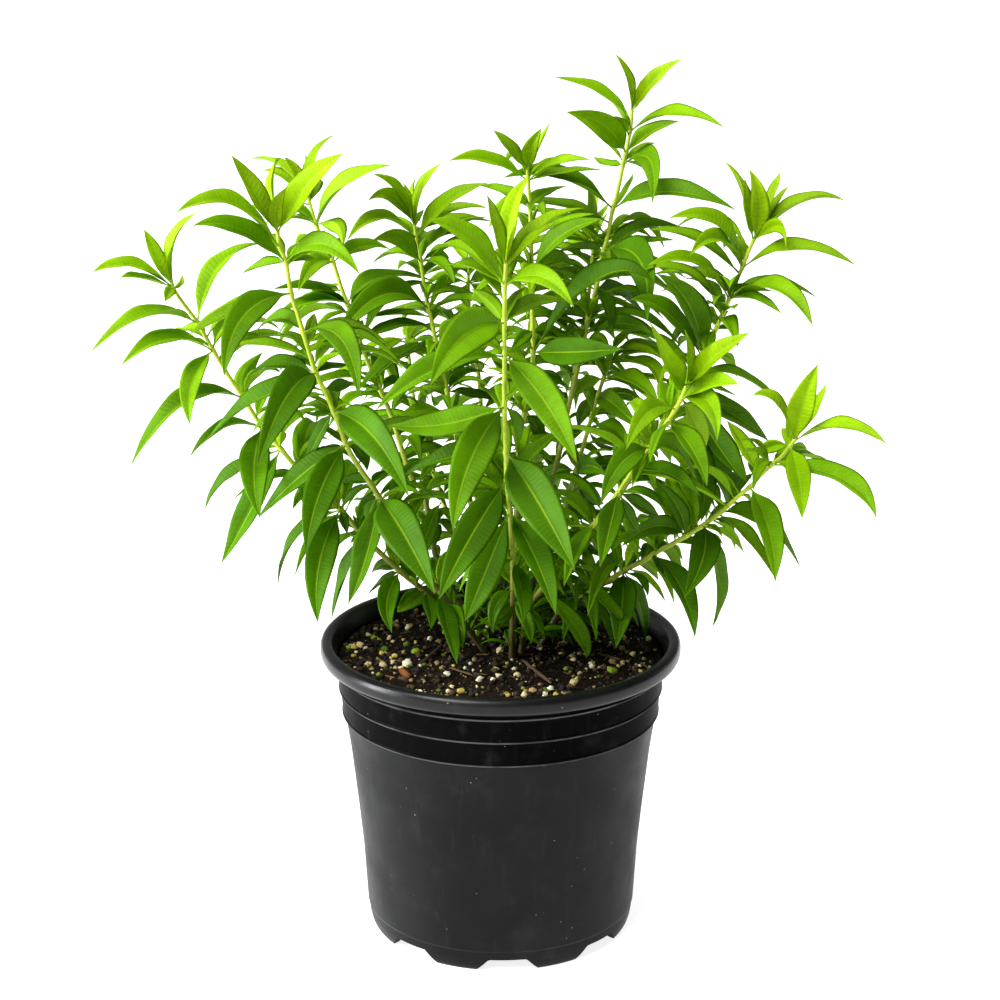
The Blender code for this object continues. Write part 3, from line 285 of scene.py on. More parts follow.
                             (611, 559, 591, 572, 10, 36)]),
            ("J", 592, 592, [(579, 584, 576, 607, 13, -28)]),
        ],
    },
    "11": {
        "path": [(592, 228, 108), (593, 245, 106), (592, 262, 104), (588, 300, 98), (580, 340, 91), (570, 400, 80),
                 (560, 450, 70), (546, 520, 56)],
        "foot": (14, 42, 147),
        "whorls": [
            ("T", 592, 228, [(589, 207, 588, 184, 10, -38), (597, 211, 595, 188, 7, 34), (580, 217, 566, 209, 12, -26),
                             (602, 216, 609, 203, 8, 28)]),
            ("J", 593, 245, [(575, 243, 553, 250, 7, 34), (606, 240, 622, 238, 8, 34)]),
            ("J", 592, 265, [(580, 256, 560, 257, 5, 34), (608, 268, 620, 280, 12, -30)]),
        ],
    },
    "12": {
        "path": [(470, 262, 112), (468, 283, 111), (471, 328, 105), (478, 370, 97), (482, 420, 86), (488, 480, 70),
                 (496, 550, 54)],
        "foot": (3, 46, 147),
        "whorls": [
            ("T", 470, 262, [(476, 244, 474, 226, 12, 30), (458, 250, 447, 240, 9, 26)]),
            ("J", 468, 284, [(445, 283, 432, 304, 13, -38), (483, 274, 497, 281, 12, 30), (464, 297, 469, 308, 12, -24),
                             (486, 296, 492, 320, 15, -40)]),
            ("J", 471, 328, [(420, 310, 384, 313, 8, 52), (461, 308, 443, 317, 10, 34), (492, 338, 500, 352, 12, 34)]),
        ],
    },
    "13": {
        "path": [(406, 336, 118), (410, 365, 112), (414, 400, 104), (430, 460, 84), (458, 545, 58)],
        "foot": (-6, 48, 147),
        "whorls": [
            ("T", 406, 336, [(386, 347, 378, 364, 12, -32), (414, 346, 425, 358, 13, -28), (407, 327, 408, 317, 7, 20)]),
        ],
    },
    "14": {
        "path": [(612, 350, 66), (609, 363, 64), (598, 395, 58), (585, 440, 50), (570, 490, 42), (552, 550, 36)],
        "foot": (19, 38, 147),
        "whorls": [
            ("T", 612, 350, [(637, 349, 662, 358, 9, -40), (624, 337, 636, 334, 8, 26), (596, 338, 584, 346, 10, 30)]),
            ("J", 609, 363, [(631, 362, 653, 370, 5, 40), (649, 366, 659, 392, 12, -46)]),
            ("J", 603, 380, [(632, 379, 659, 403, 16, -54), (586, 384, 572, 400, 14, 34)]),
            ("S", 598, 396, [(615, 405, 640, 430, 22, -46), (626, 400, 648, 407, 7, 42), (585, 410, 578, 428, 14, 34)]),
            ("J", 588, 430, [(612, 428, 629, 450, 14, -44), (600, 447, 618, 447, 5, 30), (566, 440, 556, 458, 12, 30)]),
            ("J", 576, 468, [(592, 466, 607, 476, 20, -36), (590, 494, 604, 504, 16, 36), (556, 470, 540, 478, 16, 34)]),
        ],
    },
}

# Moulded pot: outside and inside half sections, (radius, height)
WALL = 1.6
POT_OUTSIDE = [(89.6, 158.2), (90.4, 159.4), (92.0, 160.0), (93.8, 159.4), (94.9, 157.6), (95.0, 155.0),
               (94.4, 152.2), (93.2, 151.0), (88.4, 151.0), (87.7, 150.0), (87.0, 146.2), (86.3, 145.2),
               (85.3, 133.4), (84.5, 132.6), (83.7, 120.2), (82.4, 119.2), (79.6, 100.0), (76.0, 67.0),
               (73.7, 43.0), (71.9, 12.2), (71.3, 11.2), (70.8, 0.0)]
POT_UNDERSIDE = [(65.0, 0.0), (62.6, 3.4), (50.0, 3.4), (47.0, 0.0), (0.0, 0.0)]
POT_FLOOR = [(0.0, 2.0), (46.0, 2.0), (49.0, 5.4), (66.5, 5.4), (69.3, 8.0)]
POT_INSIDE = [(70.3, 13.0), (72.1, 43.0), (74.4, 67.0), (78.0, 100.0), (80.9, 119.6), (82.1, 121.0),
              (82.9, 133.0), (83.7, 134.2), (84.8, 146.0), (86.1, 151.0), (87.6, 156.4)]
POT_STEPS = 32
NOTCHES = 8              # drain notches round the foot
NOTCH_FIRST = 3.0        # degrees to the right of the front
NOTCH_LOW, NOTCH_TOP, NOTCH_H = 26.0, 16.0, 7.0   # width in degrees at the foot and at the top, height

SOIL_SIDE = [(85.4, 149.3), (84.1, 145.5), (83.0, 134.6), (82.2, 132.4), (81.4, 121.4), (80.2, 119.0),
             (77.3, 99.6), (73.7, 66.6), (71.4, 42.6), (69.6, 13.2), (68.3, 8.6), (66.2, 5.9), (48.6, 5.9),
             (45.7, 2.5), (0.0, 2.5)]
SOIL_TOP = [(0.0, 150.2), (18.0, 150.1), (40.0, 149.7), (62.0, 149.5), (78.0, 149.7)]
SOIL_STEPS = 32
SOCKET_SLACK = 0.45      # room round each stem where it enters the soil

FOOT_DEEP = 4.0          # how far each shoot goes into the soil
RING_R = 0.63            # half thickness of the collar that carries a whorl
RING_SIDES = 6
LEAF_FOOT = 0.18         # share of a leaf in which it may join its neighbours
LEAF_SIMPLE = 40.0       # length under which a leaf is drawn with three edges
LEAF_STATIONS = {60.0: [0.0, 0.22, 0.5, 0.78, 1.0], 40.0: [0.0, 0.3, 0.68, 1.0], 0.0: [0.0, 0.42, 1.0]}
OUTLINE = [(0.0, 0.10), (0.08, 0.17), (0.14, 0.46), (0.24, 0.82), (0.34, 0.97), (0.42, 1.0), (0.58, 0.88),
           (0.72, 0.66), (0.80, 0.50), (0.90, 0.25), (1.0, 0.0)]



# ---------------------------------------------------------------------------
# Fine leaf shape and colours
# ---------------------------------------------------------------------------
FINE_OUTLINE = [(0.0, 0.055), (0.04, 0.06), (0.07, 0.12), (0.12, 0.34), (0.20, 0.70), (0.30, 0.93), (0.40, 1.0),
                (0.52, 0.95), (0.64, 0.80), (0.76, 0.58), (0.86, 0.35), (0.94, 0.15), (1.0, 0.0)]
VEIN_GAP = 2.4           # between side veins, mm
VEIN_SWEEP = 1.15        # how far a side vein runs forward on its way to the edge, in vein gaps
BLADE_THICK = 0.34

# leaf colours, linear, youngest first
TONES = [(0.255, 0.430, 0.0020), (0.205, 0.390, 0.0012), (0.145, 0.315, 0.0008), (0.094, 0.235, 0.0006),
         (0.056, 0.160, 0.0004)]

rng = random.Random(SEED)


# ---------------------------------------------------------------------------
# Setting out, as for the frame
# ---------------------------------------------------------------------------
EYE = Vector((0.0, -EYE_BACK, EYE_UP))
PC, PS = math.cos(math.radians(EYE_PITCH)), math.sin(math.radians(EYE_PITCH))


def at(u, v, y):
    """The point seen at (u, v) on the sheet and lying y mm behind the pot axis."""
    a, b = (u - SHEET_U0) / SHEET_FOCAL, (SHEET_V0 - v) / SHEET_FOCAL
    reach = (y + EYE_BACK) / (PC + b * PS)
    return Vector((reach * a, y, EYE_UP + reach * (b * PC - PS)))


def on_sheet(p):
    far, high = p[1] + EYE_BACK, p[2] - EYE_UP
    depth, up = far * PC - high * PS, far * PS + high * PC
    return SHEET_U0 + SHEET_FOCAL * p[0] / depth, SHEET_V0 - SHEET_FOCAL * up / depth


def at_length(base, u, v, length):
    p0, p1 = at(u, v, 0.0), at(u, v, 1.0)
    d, e = p1 - p0, p0 - base
    a, b, c = d.dot(d), 2.0 * d.dot(e), e.dot(e) - length * length
    disc = b * b - 4.0 * a * c
    root = math.sqrt(disc) if disc > 0.0 else 0.0
    return (-b + (root if length > 0.0 else -root)) / (2.0 * a)


def outline(t):
    for (t0, w0), (t1, w1) in zip(OUTLINE, OUTLINE[1:]):
        if t <= t1:
            return w0 + (w1 - w0) * (t - t0) / (t1 - t0)
    return 0.0


def put(name, mesh):
    obj = bpy.data.objects.new(name, mesh)
    bpy.context.scene.collection.objects.link(obj)
    return obj


def baked(obj, weld=True):
    bpy.context.view_layer.update()
    graph = bpy.context.evaluated_depsgraph_get()
    mesh = bpy.data.meshes.new_from_object(obj.evaluated_get(graph))
    if weld:
        bm = bmesh.new()
        bm.from_mesh(mesh)
        bmesh.ops.remove_doubles(bm, verts=bm.verts, dist=1e-6)
        bmesh.ops.recalc_face_normals(bm, faces=bm.faces)
        bm.to_mesh(mesh)
        bm.free()
    return mesh


def tube(name, points, radii, cyclic=False, round_by=1):
    curve = bpy.data.curves.new(name, "CURVE")
    curve.dimensions = "3D"
    curve.bevel_depth = MM
    curve.bevel_resolution = round_by
    curve.use_fill_caps = not cyclic
    spline = curve.splines.new("POLY")
    spline.points.add(len(points) - 1)
    for point, p, r in zip(spline.points, points, radii):
        point.co = (*(p * MM), 1.0)
        point.radius = r
    spline.use_cyclic_u = cyclic
    wire = put(name + "_path", curve)
    mesh = baked(wire)
    bpy.data.objects.remove(wire)
    bpy.data.curves.remove(curve)
    return mesh


class Placed:
    """A piece in its place, with the box and the search tree used to keep others off it."""

    def __init__(self, owner, points, faces, outer=None):
        self.owner = owner
        self.outer = outer
        self.tree = BVHTree.FromPolygons(points, faces)
        self.low = [min(p[i] for p in points) for i in range(3)]
        self.high = [max(p[i] for p in points) for i in range(3)]

    def meets(self, other):
        for i in range(3):
            if self.low[i] > other.high[i] or other.low[i] > self.high[i]:
                return False
        return bool(self.tree.overlap(other.tree))


def leaf_set(base, mid, tip, sheet_width, side):
    """Width of the blade, the control point of its line and the direction across it half way."""
    chord = (tip - base).length
    seen = sheet_width * (mid - EYE).length / SHEET_FOCAL
    wide = max(seen, LEAF_RATIO * chord)
    lean = math.acos(min(1.0, max(0.30, seen / wide)))
    bend = 2.0 * mid - (base + tip) * 0.5
    d = (tip - base).normalized()
    sight = (mid - EYE).normalized()
    flat = d.cross(sight).normalized()
    choices = []
    for turn in (lean, -lean):
        s = flat * math.cos(turn) + d.cross(flat) * math.sin(turn)
        n = s.cross(d).normalized()
        way = -1.0 if n.dot((mid - EYE).normalized()) * side > 0.0 else 1.0
        choices.append((n.z * way, turn, way, s.normalized()))
    _, turn, way, s = max(choices, key=lambda c: c[:3])
    return wide, bend, s * way, chord


def blade(base, mid, tip, sheet_width, side, grow=0.0, start=0.0):
    """The plain leaf of the frame, used to keep leaves off each other."""
    wide, bend, middle, chord = leaf_set(base, mid, tip, sheet_width, side)
    stations = next(rows for least, rows in LEAF_STATIONS.items() if chord >= least)
    if start:
        stations = [start] + [t for t in stations if t > start + 0.08]

    def line(t):
        p = base * (1 - t) ** 2 + bend * (2 * t * (1 - t)) + tip * t * t
        d = (bend - base) * (2 * (1 - t)) + (tip - bend) * (2 * t)
        return p, d.normalized()

    points, faces = [], []
    for t in stations[:-1]:
        p, d = line(t)
        s = (middle - d * middle.dot(d)).normalized()
        n = s.cross(d).normalized()
        half = 0.5 * wide * outline(t) + grow
        thick = LEAF_HALF_THICK * (0.62 + 0.38 * min(1.0, t * 5)) * (1.0 - 0.35 * t) + grow
        if t == 0.0:
            half = 0.55 + grow
            thick = 0.42 + grow
        rise = LEAF_FOLD * max(0.0, half - 0.55)
        ring = [p - s * half + n * rise, p + n * thick, p + s * half + n * rise, p - n * thick]
        if chord < LEAF_SIMPLE:
            ring = [ring[0], ring[2], ring[3]]
        points += ring
    points.append(line(1.0)[0])
    rows, n = len(stations) - 1, len(ring)
    for i in range(rows - 1):
        a, b = n * i, n * (i + 1)
        for k in range(n):
            j = (k + 1) % n
            if (k, j) in ((1, 2), (3, 0)) and n == 4 or (k, j) == (2, 0) and n == 3:
                faces += [(a + k, a + j, b + k), (a + j, b + j, b + k)]
            else:
                faces += [(a + k, a + j, b + j), (a + k, b + j, b + k)]
    a, end = n * (rows - 1), len(points) - 1
    faces += [(a + k, a + (k + 1) % n, end) for k in range(n)]
    faces += [(3, 2, 1), (3, 1, 0)] if n == 4 else [(2, 1, 0)]
    return points, faces


def shoot_line(shoot):
    foot = Vector(shoot["foot"])
    above = [at(*p) for p in reversed(shoot["path"])]
    rise = (above[0] - foot).normalized()
    start = Vector((foot.x - rise.x * FOOT_DEEP * 0.3, foot.y - rise.y * FOOT_DEEP * 0.3, SOIL_Z - FOOT_DEEP))
    knee = foot.lerp(above[0], 0.45) + Vector((0.0, 0.0, 0.05 * (above[0] - foot).length))
    points = [start, Vector((foot.x, foot.y, SOIL_Z + 1.5)), knee] + above
    reach = [0.0]
    for p, q in zip(points, points[1:]):
        reach.append(reach[-1] + (q - p).length)
    radii = [STEM_R_BASE + (STEM_R_TIP - STEM_R_BASE) * (s / reach[-1]) ** 0.75 for s in reach]
    return points, radii


def on_shoot(points, radii, u, v):
    best = None
    for i in range(len(points) - 1):
        for k in range(9):
            f = k / 8.0
            p = points[i].lerp(points[i + 1], f)
            pu, pv = on_sheet(p)
            off = math.hypot(pu - u, pv - v)
            if best is None or off < best[0]:
                best = (off, p, (points[i + 1] - points[i]).normalized(),
                        radii[i] + (radii[i + 1] - radii[i]) * f)
    return best[1:]


def ring_line(centre, direction, radius):
    side = direction.orthogonal().normalized()
    other = direction.cross(side)
    return [centre + (side * math.cos(a) + other * math.sin(a)) * radius
            for a in (2 * math.pi * k / RING_SIDES for k in range(RING_SIDES))]


# ---------------------------------------------------------------------------
# Where every leaf goes
# ---------------------------------------------------------------------------
lines, placed = {}, []
for name, shoot in SHOOTS.items():
    lines[name] = shoot_line(shoot)
    mesh = tube("line_" + name, *lines[name])
    placed.append(Placed("stem_" + name, [v.co / MM for v in mesh.vertices], [tuple(p.vertices) for p in mesh.polygons]))
    bpy.data.meshes.remove(mesh)

whorls = []
for name, shoot in SHOOTS.items():
    count = 0
    for flag, u, v, leaves in shoot["whorls"]:
        centre, direction, radius = on_shoot(*lines[name], u, v)
        owner = "stem_" + name
        if flag == "S":
            count += 1
            owner = f"whorl_{name}_{count}"
        whorls.append((owner, flag, name, centre, direction, radius, leaves))
for owner, flag, name, centre, direction, radius, leaves in whorls:
    if flag == "S":
        ring = (radius + GAP + RING_R) / math.cos(math.pi / RING_SIDES)
        mesh = tube(owner, ring_line(centre, direction, ring), [RING_R * 1.15] * RING_SIDES, True, 0)
        placed.append(Placed(owner, [v.co / MM for v in mesh.vertices], [tuple(p.vertices) for p in mesh.polygons]))
        bpy.data.meshes.remove(mesh)

jobs = []
for order, (owner, flag, name, centre, direction, radius, leaves) in enumerate(whorls):
    for k, leaf in enumerate(leaves):
        jobs.append((owner, flag, name, centre, direction, radius, leaf, order, k))
jobs.sort(key=lambda j: (-(abs(j[6][5]) > 33.0), j[3].y, j[7], j[8]))

FIRST = {}
for order, entry in enumerate(whorls):
    FIRST.setdefault(entry[2], order)

leaves_at = []            # (owner, root, mid, tip, wide on the sheet, side, age)
for owner, flag, name, centre, direction, radius, leaf, order, k in jobs:
    mu, mv, tu, tv, wide, length = leaf[:6]
    side = leaf[6] if len(leaf) > 6 else 1
    depth = at_length(centre, tu, tv, length)
    aim = at(mu, mv, centre.y + 0.5 * (depth - centre.y)) - centre
    out = (aim - direction * aim.dot(direction)).normalized()
    base = centre + out * (radius + GAP + RING_R) if flag == "S" else centre + out * (radius * 0.2)
    if flag == "T":
        base -= direction * (1.4 + 0.23 * k)
    done = None
    for narrow, sway in ((1.0, 0.0), (1.0, 5.0), (1.0, -5.0), (0.8, 0.0), (0.8, 8.0), (0.8, -8.0), (0.6, 0.0)):
        for step in (0, 4, -4, 8, -8, 12, -12, 17, -17, 23, -23, 30, -30):
            far = depth + step
            tip = at(tu + sway * (tv - on_sheet(base)[1]) / 60.0, tv - sway * (tu - on_sheet(base)[0]) / 60.0, far)
            mid = at(mu, mv, base.y + 0.5 * (far - base.y) - 0.04 * abs(length))
            outer = Placed(owner, *blade(base, mid, tip, wide * narrow, side, grow=0.12, start=LEAF_FOOT))
            trial = Placed(owner, *blade(base, mid, tip, wide * narrow, side, grow=0.12), outer)
            clash = False
            for other in placed:
                if other.owner != owner:
                    clash = other.meets(trial)
                else:
                    clash = (other.outer or other).meets(outer)
                if clash:
                    break
            if not clash:
                done = (mid, tip, wide * narrow)
                break
        if done:
            break
    if not done:
        continue
    placed.append(trial)
    root = centre + out * (radius * 0.45) if flag != "T" else base
    age = (order - FIRST[name]) + (0 if flag == "T" else 0.4)
    leaves_at.append((owner, root, *done, side, age, flag))
print("leaves placed", len(leaves_at))


# ---------------------------------------------------------------------------
# Fine blades
# ---------------------------------------------------------------------------
_t = np.linspace(0, 1, 401)
_w = np.interp(_t, *zip(*FINE_OUTLINE))
_k = np.ones(13) / 13
_w = np.convolve(np.pad(_w, 6, mode="edge"), _k, mode="valid")
_w[-8:] = np.linspace(_w[-8], 0.012, 8)


def unit(a):
    return a / np.maximum(np.linalg.norm(a, axis=-1, keepdims=True), 1e-12)


def fine_leaf(base, mid, tip, sheet_width, side, young, gen, full=True):
    """One blade as a thin closed body: points in mm, faces, (vein, across) of each point, skin of each face."""
    wide, bend, middle, chord = leaf_set(base, mid, tip, sheet_width, side)
    big = chord > 40.0
    ridges = max(5.0, chord / VEIN_GAP)
    rows = int(min(60, max(20, ridges * (2.8 if big else 2.2))))
    if not full:
        rows = int(min(19, rows * 0.6))
    across = np.array([-1, -0.8, -0.5, -0.2, 0, 0.2, 0.5, 0.8, 1.0] if big and full else [-1, -0.62, -0.22, 0, 0.22, 0.62, 1.0])
    t = np.linspace(0, 1, rows) ** 0.96
    B, C, P = (np.array(p) for p in (base, bend, tip))
    p = B * ((1 - t) ** 2)[:, None] + C * (2 * t * (1 - t))[:, None] + P * (t * t)[:, None]
    d = unit((C - B) * (2 * (1 - t))[:, None] + (P - C) * (2 * t)[:, None])
    m = np.array(middle)
    s = unit(m - d * (d @ m)[:, None])
    n = unit(np.cross(s, d))
    twist = gen.uniform(-0.22, 0.22)
    a = twist * (t - 0.5)
    s, n = s * np.cos(a)[:, None] + n * np.sin(a)[:, None], n * np.cos(a)[:, None] - s * np.sin(a)[:, None]
    half = 0.5 * wide * np.interp(t, _t, _w)
    half = np.maximum(half, np.where(t < 0.08, 0.42, 0.06))
    v = across[None, :]
    av = np.abs(v)
    fold = (0.60 if young else 0.64) * gen.uniform(0.8, 1.2)
    curl = (0.10 if young else 0.17) * gen.uniform(0.6, 1.4)
    lift = half[:, None] * (fold * av - curl * av ** 2.2)
    phase = ridges * t[:, None] - VEIN_SWEEP * av
    window = np.clip(half[:, None] / 3.0, 0, 1) * (1 - av ** 5) * np.clip(av / 0.25, 0, 1) * np.clip((t[:, None] - 0.06) / 0.1, 0, 1)
    lift = lift - (0.055 if big else 0.04) * np.cos(2 * np.pi * phase) * window
    wave = gen.uniform(0, 6.28)
    lift = lift + 0.07 * half[:, None] * np.sin(2 * np.pi * 2.3 * t[:, None] + wave + np.sign(v) * 0.9) * av ** 2
    groove = -0.22 * np.exp(-((v * half[:, None]) / 0.45) ** 2) * np.clip(half[:, None] / 2.0, 0, 1)
    edge = 1.0 + 0.008 * np.cos(2 * np.pi * phase) * (av > 0.95) * np.clip(half[:, None] / 2.5, 0, 1)
    thick = BLADE_THICK * (1 - 0.75 * av ** 3) * (0.55 + 0.45 * np.clip(half[:, None] / 2, 0, 1))
    stalk = np.clip(1 - t / 0.11, 0, 1)[:, None]
    thick = thick + 0.75 * stalk * (1 - av ** 2)
    rib = 0.42 * np.exp(-((v * half[:, None]) / 0.55) ** 2) * np.clip(1.05 - t, 0, 1)[:, None] * np.clip(half[:, None] / 2.5, 0.3, 1)
    flat = p[:, None, :] + s[:, None, :] * (half[:, None] * v * edge)[:, :, None]
    top = flat + n[:, None, :] * (lift + groove + thick / 2)[:, :, None]
    low = flat + n[:, None, :] * (lift - thick / 2 - rib)[:, :, None]
    cols = len(across)
    ids_top = np.arange(rows * cols).reshape(rows, cols)
    ids_low = ids_top.copy()
    inner = np.arange(rows * (cols - 2)).reshape(rows, cols - 2) + rows * cols
    ids_low[:, 1:-1] = inner
    verts = np.concatenate([top.reshape(-1, 3), low[:, 1:-1].reshape(-1, 3)])
    co = np.stack([np.broadcast_to(ridges * t[:, None], (rows, cols)), np.broadcast_to(v, (rows, cols)),
                   np.broadcast_to(t[:, None], (rows, cols))], axis=-1)
    coords = np.concatenate([co.reshape(-1, 3), co[:, 1:-1].reshape(-1, 3)])
    T, W = ids_top, ids_low
    up = np.stack([T[:-1, :-1], T[:-1, 1:], T[1:, 1:], T[1:, :-1]], -1).reshape(-1, 4)
    dn = np.stack([W[:-1, :-1], W[1:, :-1], W[1:, 1:], W[:-1, 1:]], -1).reshape(-1, 4)
    faces = [up, dn]
    skin = [np.zeros(len(up), int), np.ones(len(dn), int)]
    for row, flip in ((0, False), (rows - 1, True)):
        caps = []
        for c in range(cols - 1):
            quad = [T[row, c + 1], T[row, c], W[row, c], W[row, c + 1]]
            if flip:
                quad.reverse()
            quad = [q for i, q in enumerate(quad) if q not in quad[:i]]
            caps.append(quad + [-1] * (4 - len(quad)))
        faces.append(np.array(caps))
        skin.append(np.zeros(len(caps), int))
    return verts, np.concatenate(faces), coords, np.concatenate(skin)


class Build:
    """Gathers bodies into one mesh with a colour and a leaf coordinate at every point."""

    def __init__(self):
        self.v, self.f, self.c, self.k, self.m, self.n = [], [], [], [], [], 0

    def add(self, verts, faces, colour, coords=None, skins=None):
        faces = np.asarray(faces, int)
        self.v.append(np.asarray(verts, float))
        self.f.append(np.where(faces >= 0, faces + self.n, -1))
        colour = np.asarray(colour, float)
        self.c.append(np.broadcast_to(colour, (len(verts), 3)) if colour.ndim == 1 else colour)
        self.k.append(np.zeros((len(verts), 3)) if coords is None else coords)
        self.m.append(np.zeros(len(faces), int) if skins is None else skins)
        self.n += len(verts)

    def mesh(self, name, materials):
        V = np.concatenate(self.v) * MM
        F = [tuple(int(i) for i in q if i >= 0) for q in np.concatenate(self.f)]
        M = np.concatenate(self.m)
        keep = [i for i, q in enumerate(F) if len(q) > 2]
        me = bpy.data.meshes.new(name)
        me.from_pydata(V.tolist(), [], [F[i] for i in keep])
        me.polygons.foreach_set("material_index", M[keep].astype(np.int32))
        me.polygons.foreach_set("use_smooth", np.ones(len(keep), bool))
        tint = me.color_attributes.new("tint", "FLOAT_COLOR", "POINT")
        rgba = np.ones((len(V), 4), np.float32)
        rgba[:, :3] = np.concatenate(self.c)
        tint.data.foreach_set("color", rgba.ravel())
        leafco = me.attributes.new("leafco", "FLOAT_VECTOR", "POINT")
        leafco.data.foreach_set("vector", np.concatenate(self.k).astype(np.float32).ravel())
        for mat in materials:
            me.materials.append(mat)
        me.update()
        return me


# heights of the moulded ring lines round the pot: the outer corner of each step of its wall
POT_RINGS = [a[1] for a, b in zip(POT_OUTSIDE, POT_OUTSIDE[1:]) if a[0] - b[0] > 0.35 and abs(a[1] - b[1]) < 2.6 and 20 < a[1] < 150.5]
print("ring lines at", POT_RINGS)


# ---------------------------------------------------------------------------
# Materials
# ---------------------------------------------------------------------------
class Nodes:
    def __init__(self, name):
        self.mat = bpy.data.materials.new(name)
        self.mat.use_nodes = True
        self.tree = self.mat.node_tree
        self.tree.nodes.clear()
        self.out = self.tree.nodes.new("ShaderNodeOutputMaterial")

    def new(self, kind, **values):
        node = self.tree.nodes.new("ShaderNode" + kind)
        for key, value in values.items():
            if key.startswith("in_"):
                node.inputs[key[3:].replace("_", " ")].default_value = value
            else:
                setattr(node, key, value)
        return node

    def link(self, a, b):
        self.tree.links.new(a, b)

    def math(self, operation, a, b=None, c=None, clamp=False):
        node = self.tree.nodes.new("ShaderNodeMath")
        node.operation = operation
        node.use_clamp = clamp
        for i, x in enumerate((a, b, c)):
            if x is None:
                continue
            if isinstance(x, (int, float)):
                node.inputs[i].default_value = x
            else:
                self.link(x, node.inputs[i])
        return node.outputs[0]

    def span(self, x, lo, hi, a, b, kind="SMOOTHSTEP"):
        node = self.tree.nodes.new("ShaderNodeMapRange")
        node.interpolation_type = kind
        self.link(x, node.inputs["Value"])
        for key, value in (("From Min", lo), ("From Max", hi), ("To Min", a), ("To Max", b)):
            node.inputs[key].default_value = value
        return node.outputs["Result"]

    def mix(self, factor, a, b, blend="MIX"):
        node = self.tree.nodes.new("ShaderNodeMix")
        node.data_type = "RGBA"
        node.blend_type = blend
        for socket, x in ((node.inputs[0], factor), (node.inputs[6], a), (node.inputs[7], b)):
            if isinstance(x, (int, float)):
                socket.default_value = x
            elif isinstance(x, tuple):
                socket.default_value = (*x, 1.0)
            else:
                self.link(x, socket)
        return node.outputs[2]

    def noise(self, scale, detail=3.0, rough=0.55, vector=None):
        node = self.new("TexNoise")
        node.inputs["Scale"].default_value = scale
        node.inputs["Detail"].default_value = detail
        node.inputs["Roughness"].default_value = rough
        if vector is not None:
            self.link(vector, node.inputs["Vector"])
        return node.outputs["Fac"]

    def bump(self, height, strength, distance, normal=None):
        node = self.new("Bump")
        node.inputs["Strength"].default_value = strength
        node.inputs["Distance"].default_value = distance
        self.link(height, node.inputs["Height"])
        if normal is not None:
            self.link(normal, node.inputs["Normal"])
        return node.outputs["Normal"]


def leaf_material(name, under):
    g = Nodes(name)
    co = g.new("TexCoord").outputs["Object"]
    tint = g.new("Attribute", attribute_name="tint").outputs["Color"]
    parts = g.new("SeparateXYZ")
    g.link(g.new("Attribute", attribute_name="leafco").outputs["Vector"], parts.inputs[0])
    along, side, part = parts.outputs
    away = g.math("ABSOLUTE", side)
    phase = g.math("SUBTRACT", along, g.math("MULTIPLY", away, VEIN_SWEEP))
    phase = g.math("ADD", phase, g.math("MULTIPLY", g.noise(120.0, 2.0, 0.5, co), 0.9))
    near = g.math("PINGPONG", g.math("ADD", phase, 40.0), 0.5)          # 0 on a side vein, 0.5 between two
    inside = g.span(away, 0.80, 1.0, 1.0, 0.25)
    vein = g.math("MULTIPLY", g.span(near, 0.02, 0.12, 1.0, 0.0), inside)
    rib = g.span(away, 0.022, 0.065, 1.0, 0.0)
    mottled = g.span(g.noise(55.0, 3.0, 0.6, co), 0.3, 0.7, 0.82, 1.16, "LINEAR")
    fine = g.span(g.noise(900.0, 2.0, 0.6, co), 0.3, 0.7, 0.93, 1.07, "LINEAR")
    between = g.span(near, 0.0, 0.5, 0.955, 1.045, "LINEAR")
    value = g.math("MULTIPLY", g.math("MULTIPLY", mottled, fine), between)
    grey = g.new("CombineColor")
    for socket in grey.inputs[:3]:
        g.link(value, socket)
    colour = g.mix(1.0, tint, grey.outputs[0], "MULTIPLY")
    if under:
        colour = g.mix(0.36, colour, (0.200, 0.390, 0.010))
        colour = g.mix(g.math("MULTIPLY", vein, 0.35), colour, (0.29, 0.47, 0.05))
        colour = g.mix(g.math("MULTIPLY", rib, 0.65), colour, (0.36, 0.54, 0.04))
    else:
        colour = g.mix(g.math("MULTIPLY", vein, 0.07), colour, (0.26, 0.46, 0.01))
        colour = g.mix(g.math("MULTIPLY", rib, 0.50), colour, (0.33, 0.52, 0.015))
        stalk = g.span(part, 0.0, 0.09, 0.7, 0.0)
        colour = g.mix(stalk, colour, (0.38, 0.52, 0.05))
        edge = g.span(away, 0.95, 1.0, 0.0, 0.10)
        colour = g.mix(edge, colour, (0.22, 0.40, 0.02))
        dry = g.math("MULTIPLY", g.span(part, 0.955, 0.995, 0.0, 1.0), 0.5)
        colour = g.mix(dry, colour, (0.16, 0.14, 0.06))
    normal = g.bump(g.noise(1500.0, 2.0, 0.5, co), 0.16, 0.0004)
    ridge = g.math("MULTIPLY", g.span(near, 0.0, 0.34, 0.0, 1.0), inside)
    if under:
        ridge = g.math("SUBTRACT", 1.0, ridge)
    normal = g.bump(ridge, 0.22, 0.0005, normal)
    shader = g.new("BsdfPrincipled", in_Roughness=0.62 if under else 0.48)
    shader.inputs["Specular IOR Level"].default_value = 0.04 if under else 0.08
    g.link(colour, shader.inputs["Base Color"])
    g.link(normal, shader.inputs["Normal"])
    glow = g.new("BsdfTranslucent")
    g.link(g.mix(1.0, colour, (1.40, 1.38, 0.12), "MULTIPLY"), glow.inputs["Color"])
    g.link(normal, glow.inputs["Normal"])
    blend = g.new("MixShader")
    blend.inputs[0].default_value = 0.30
    g.link(shader.outputs[0], blend.inputs[1])
    g.link(glow.outputs[0], blend.inputs[2])
    g.link(blend.outputs[0], g.out.inputs["Surface"])
    return g.mat


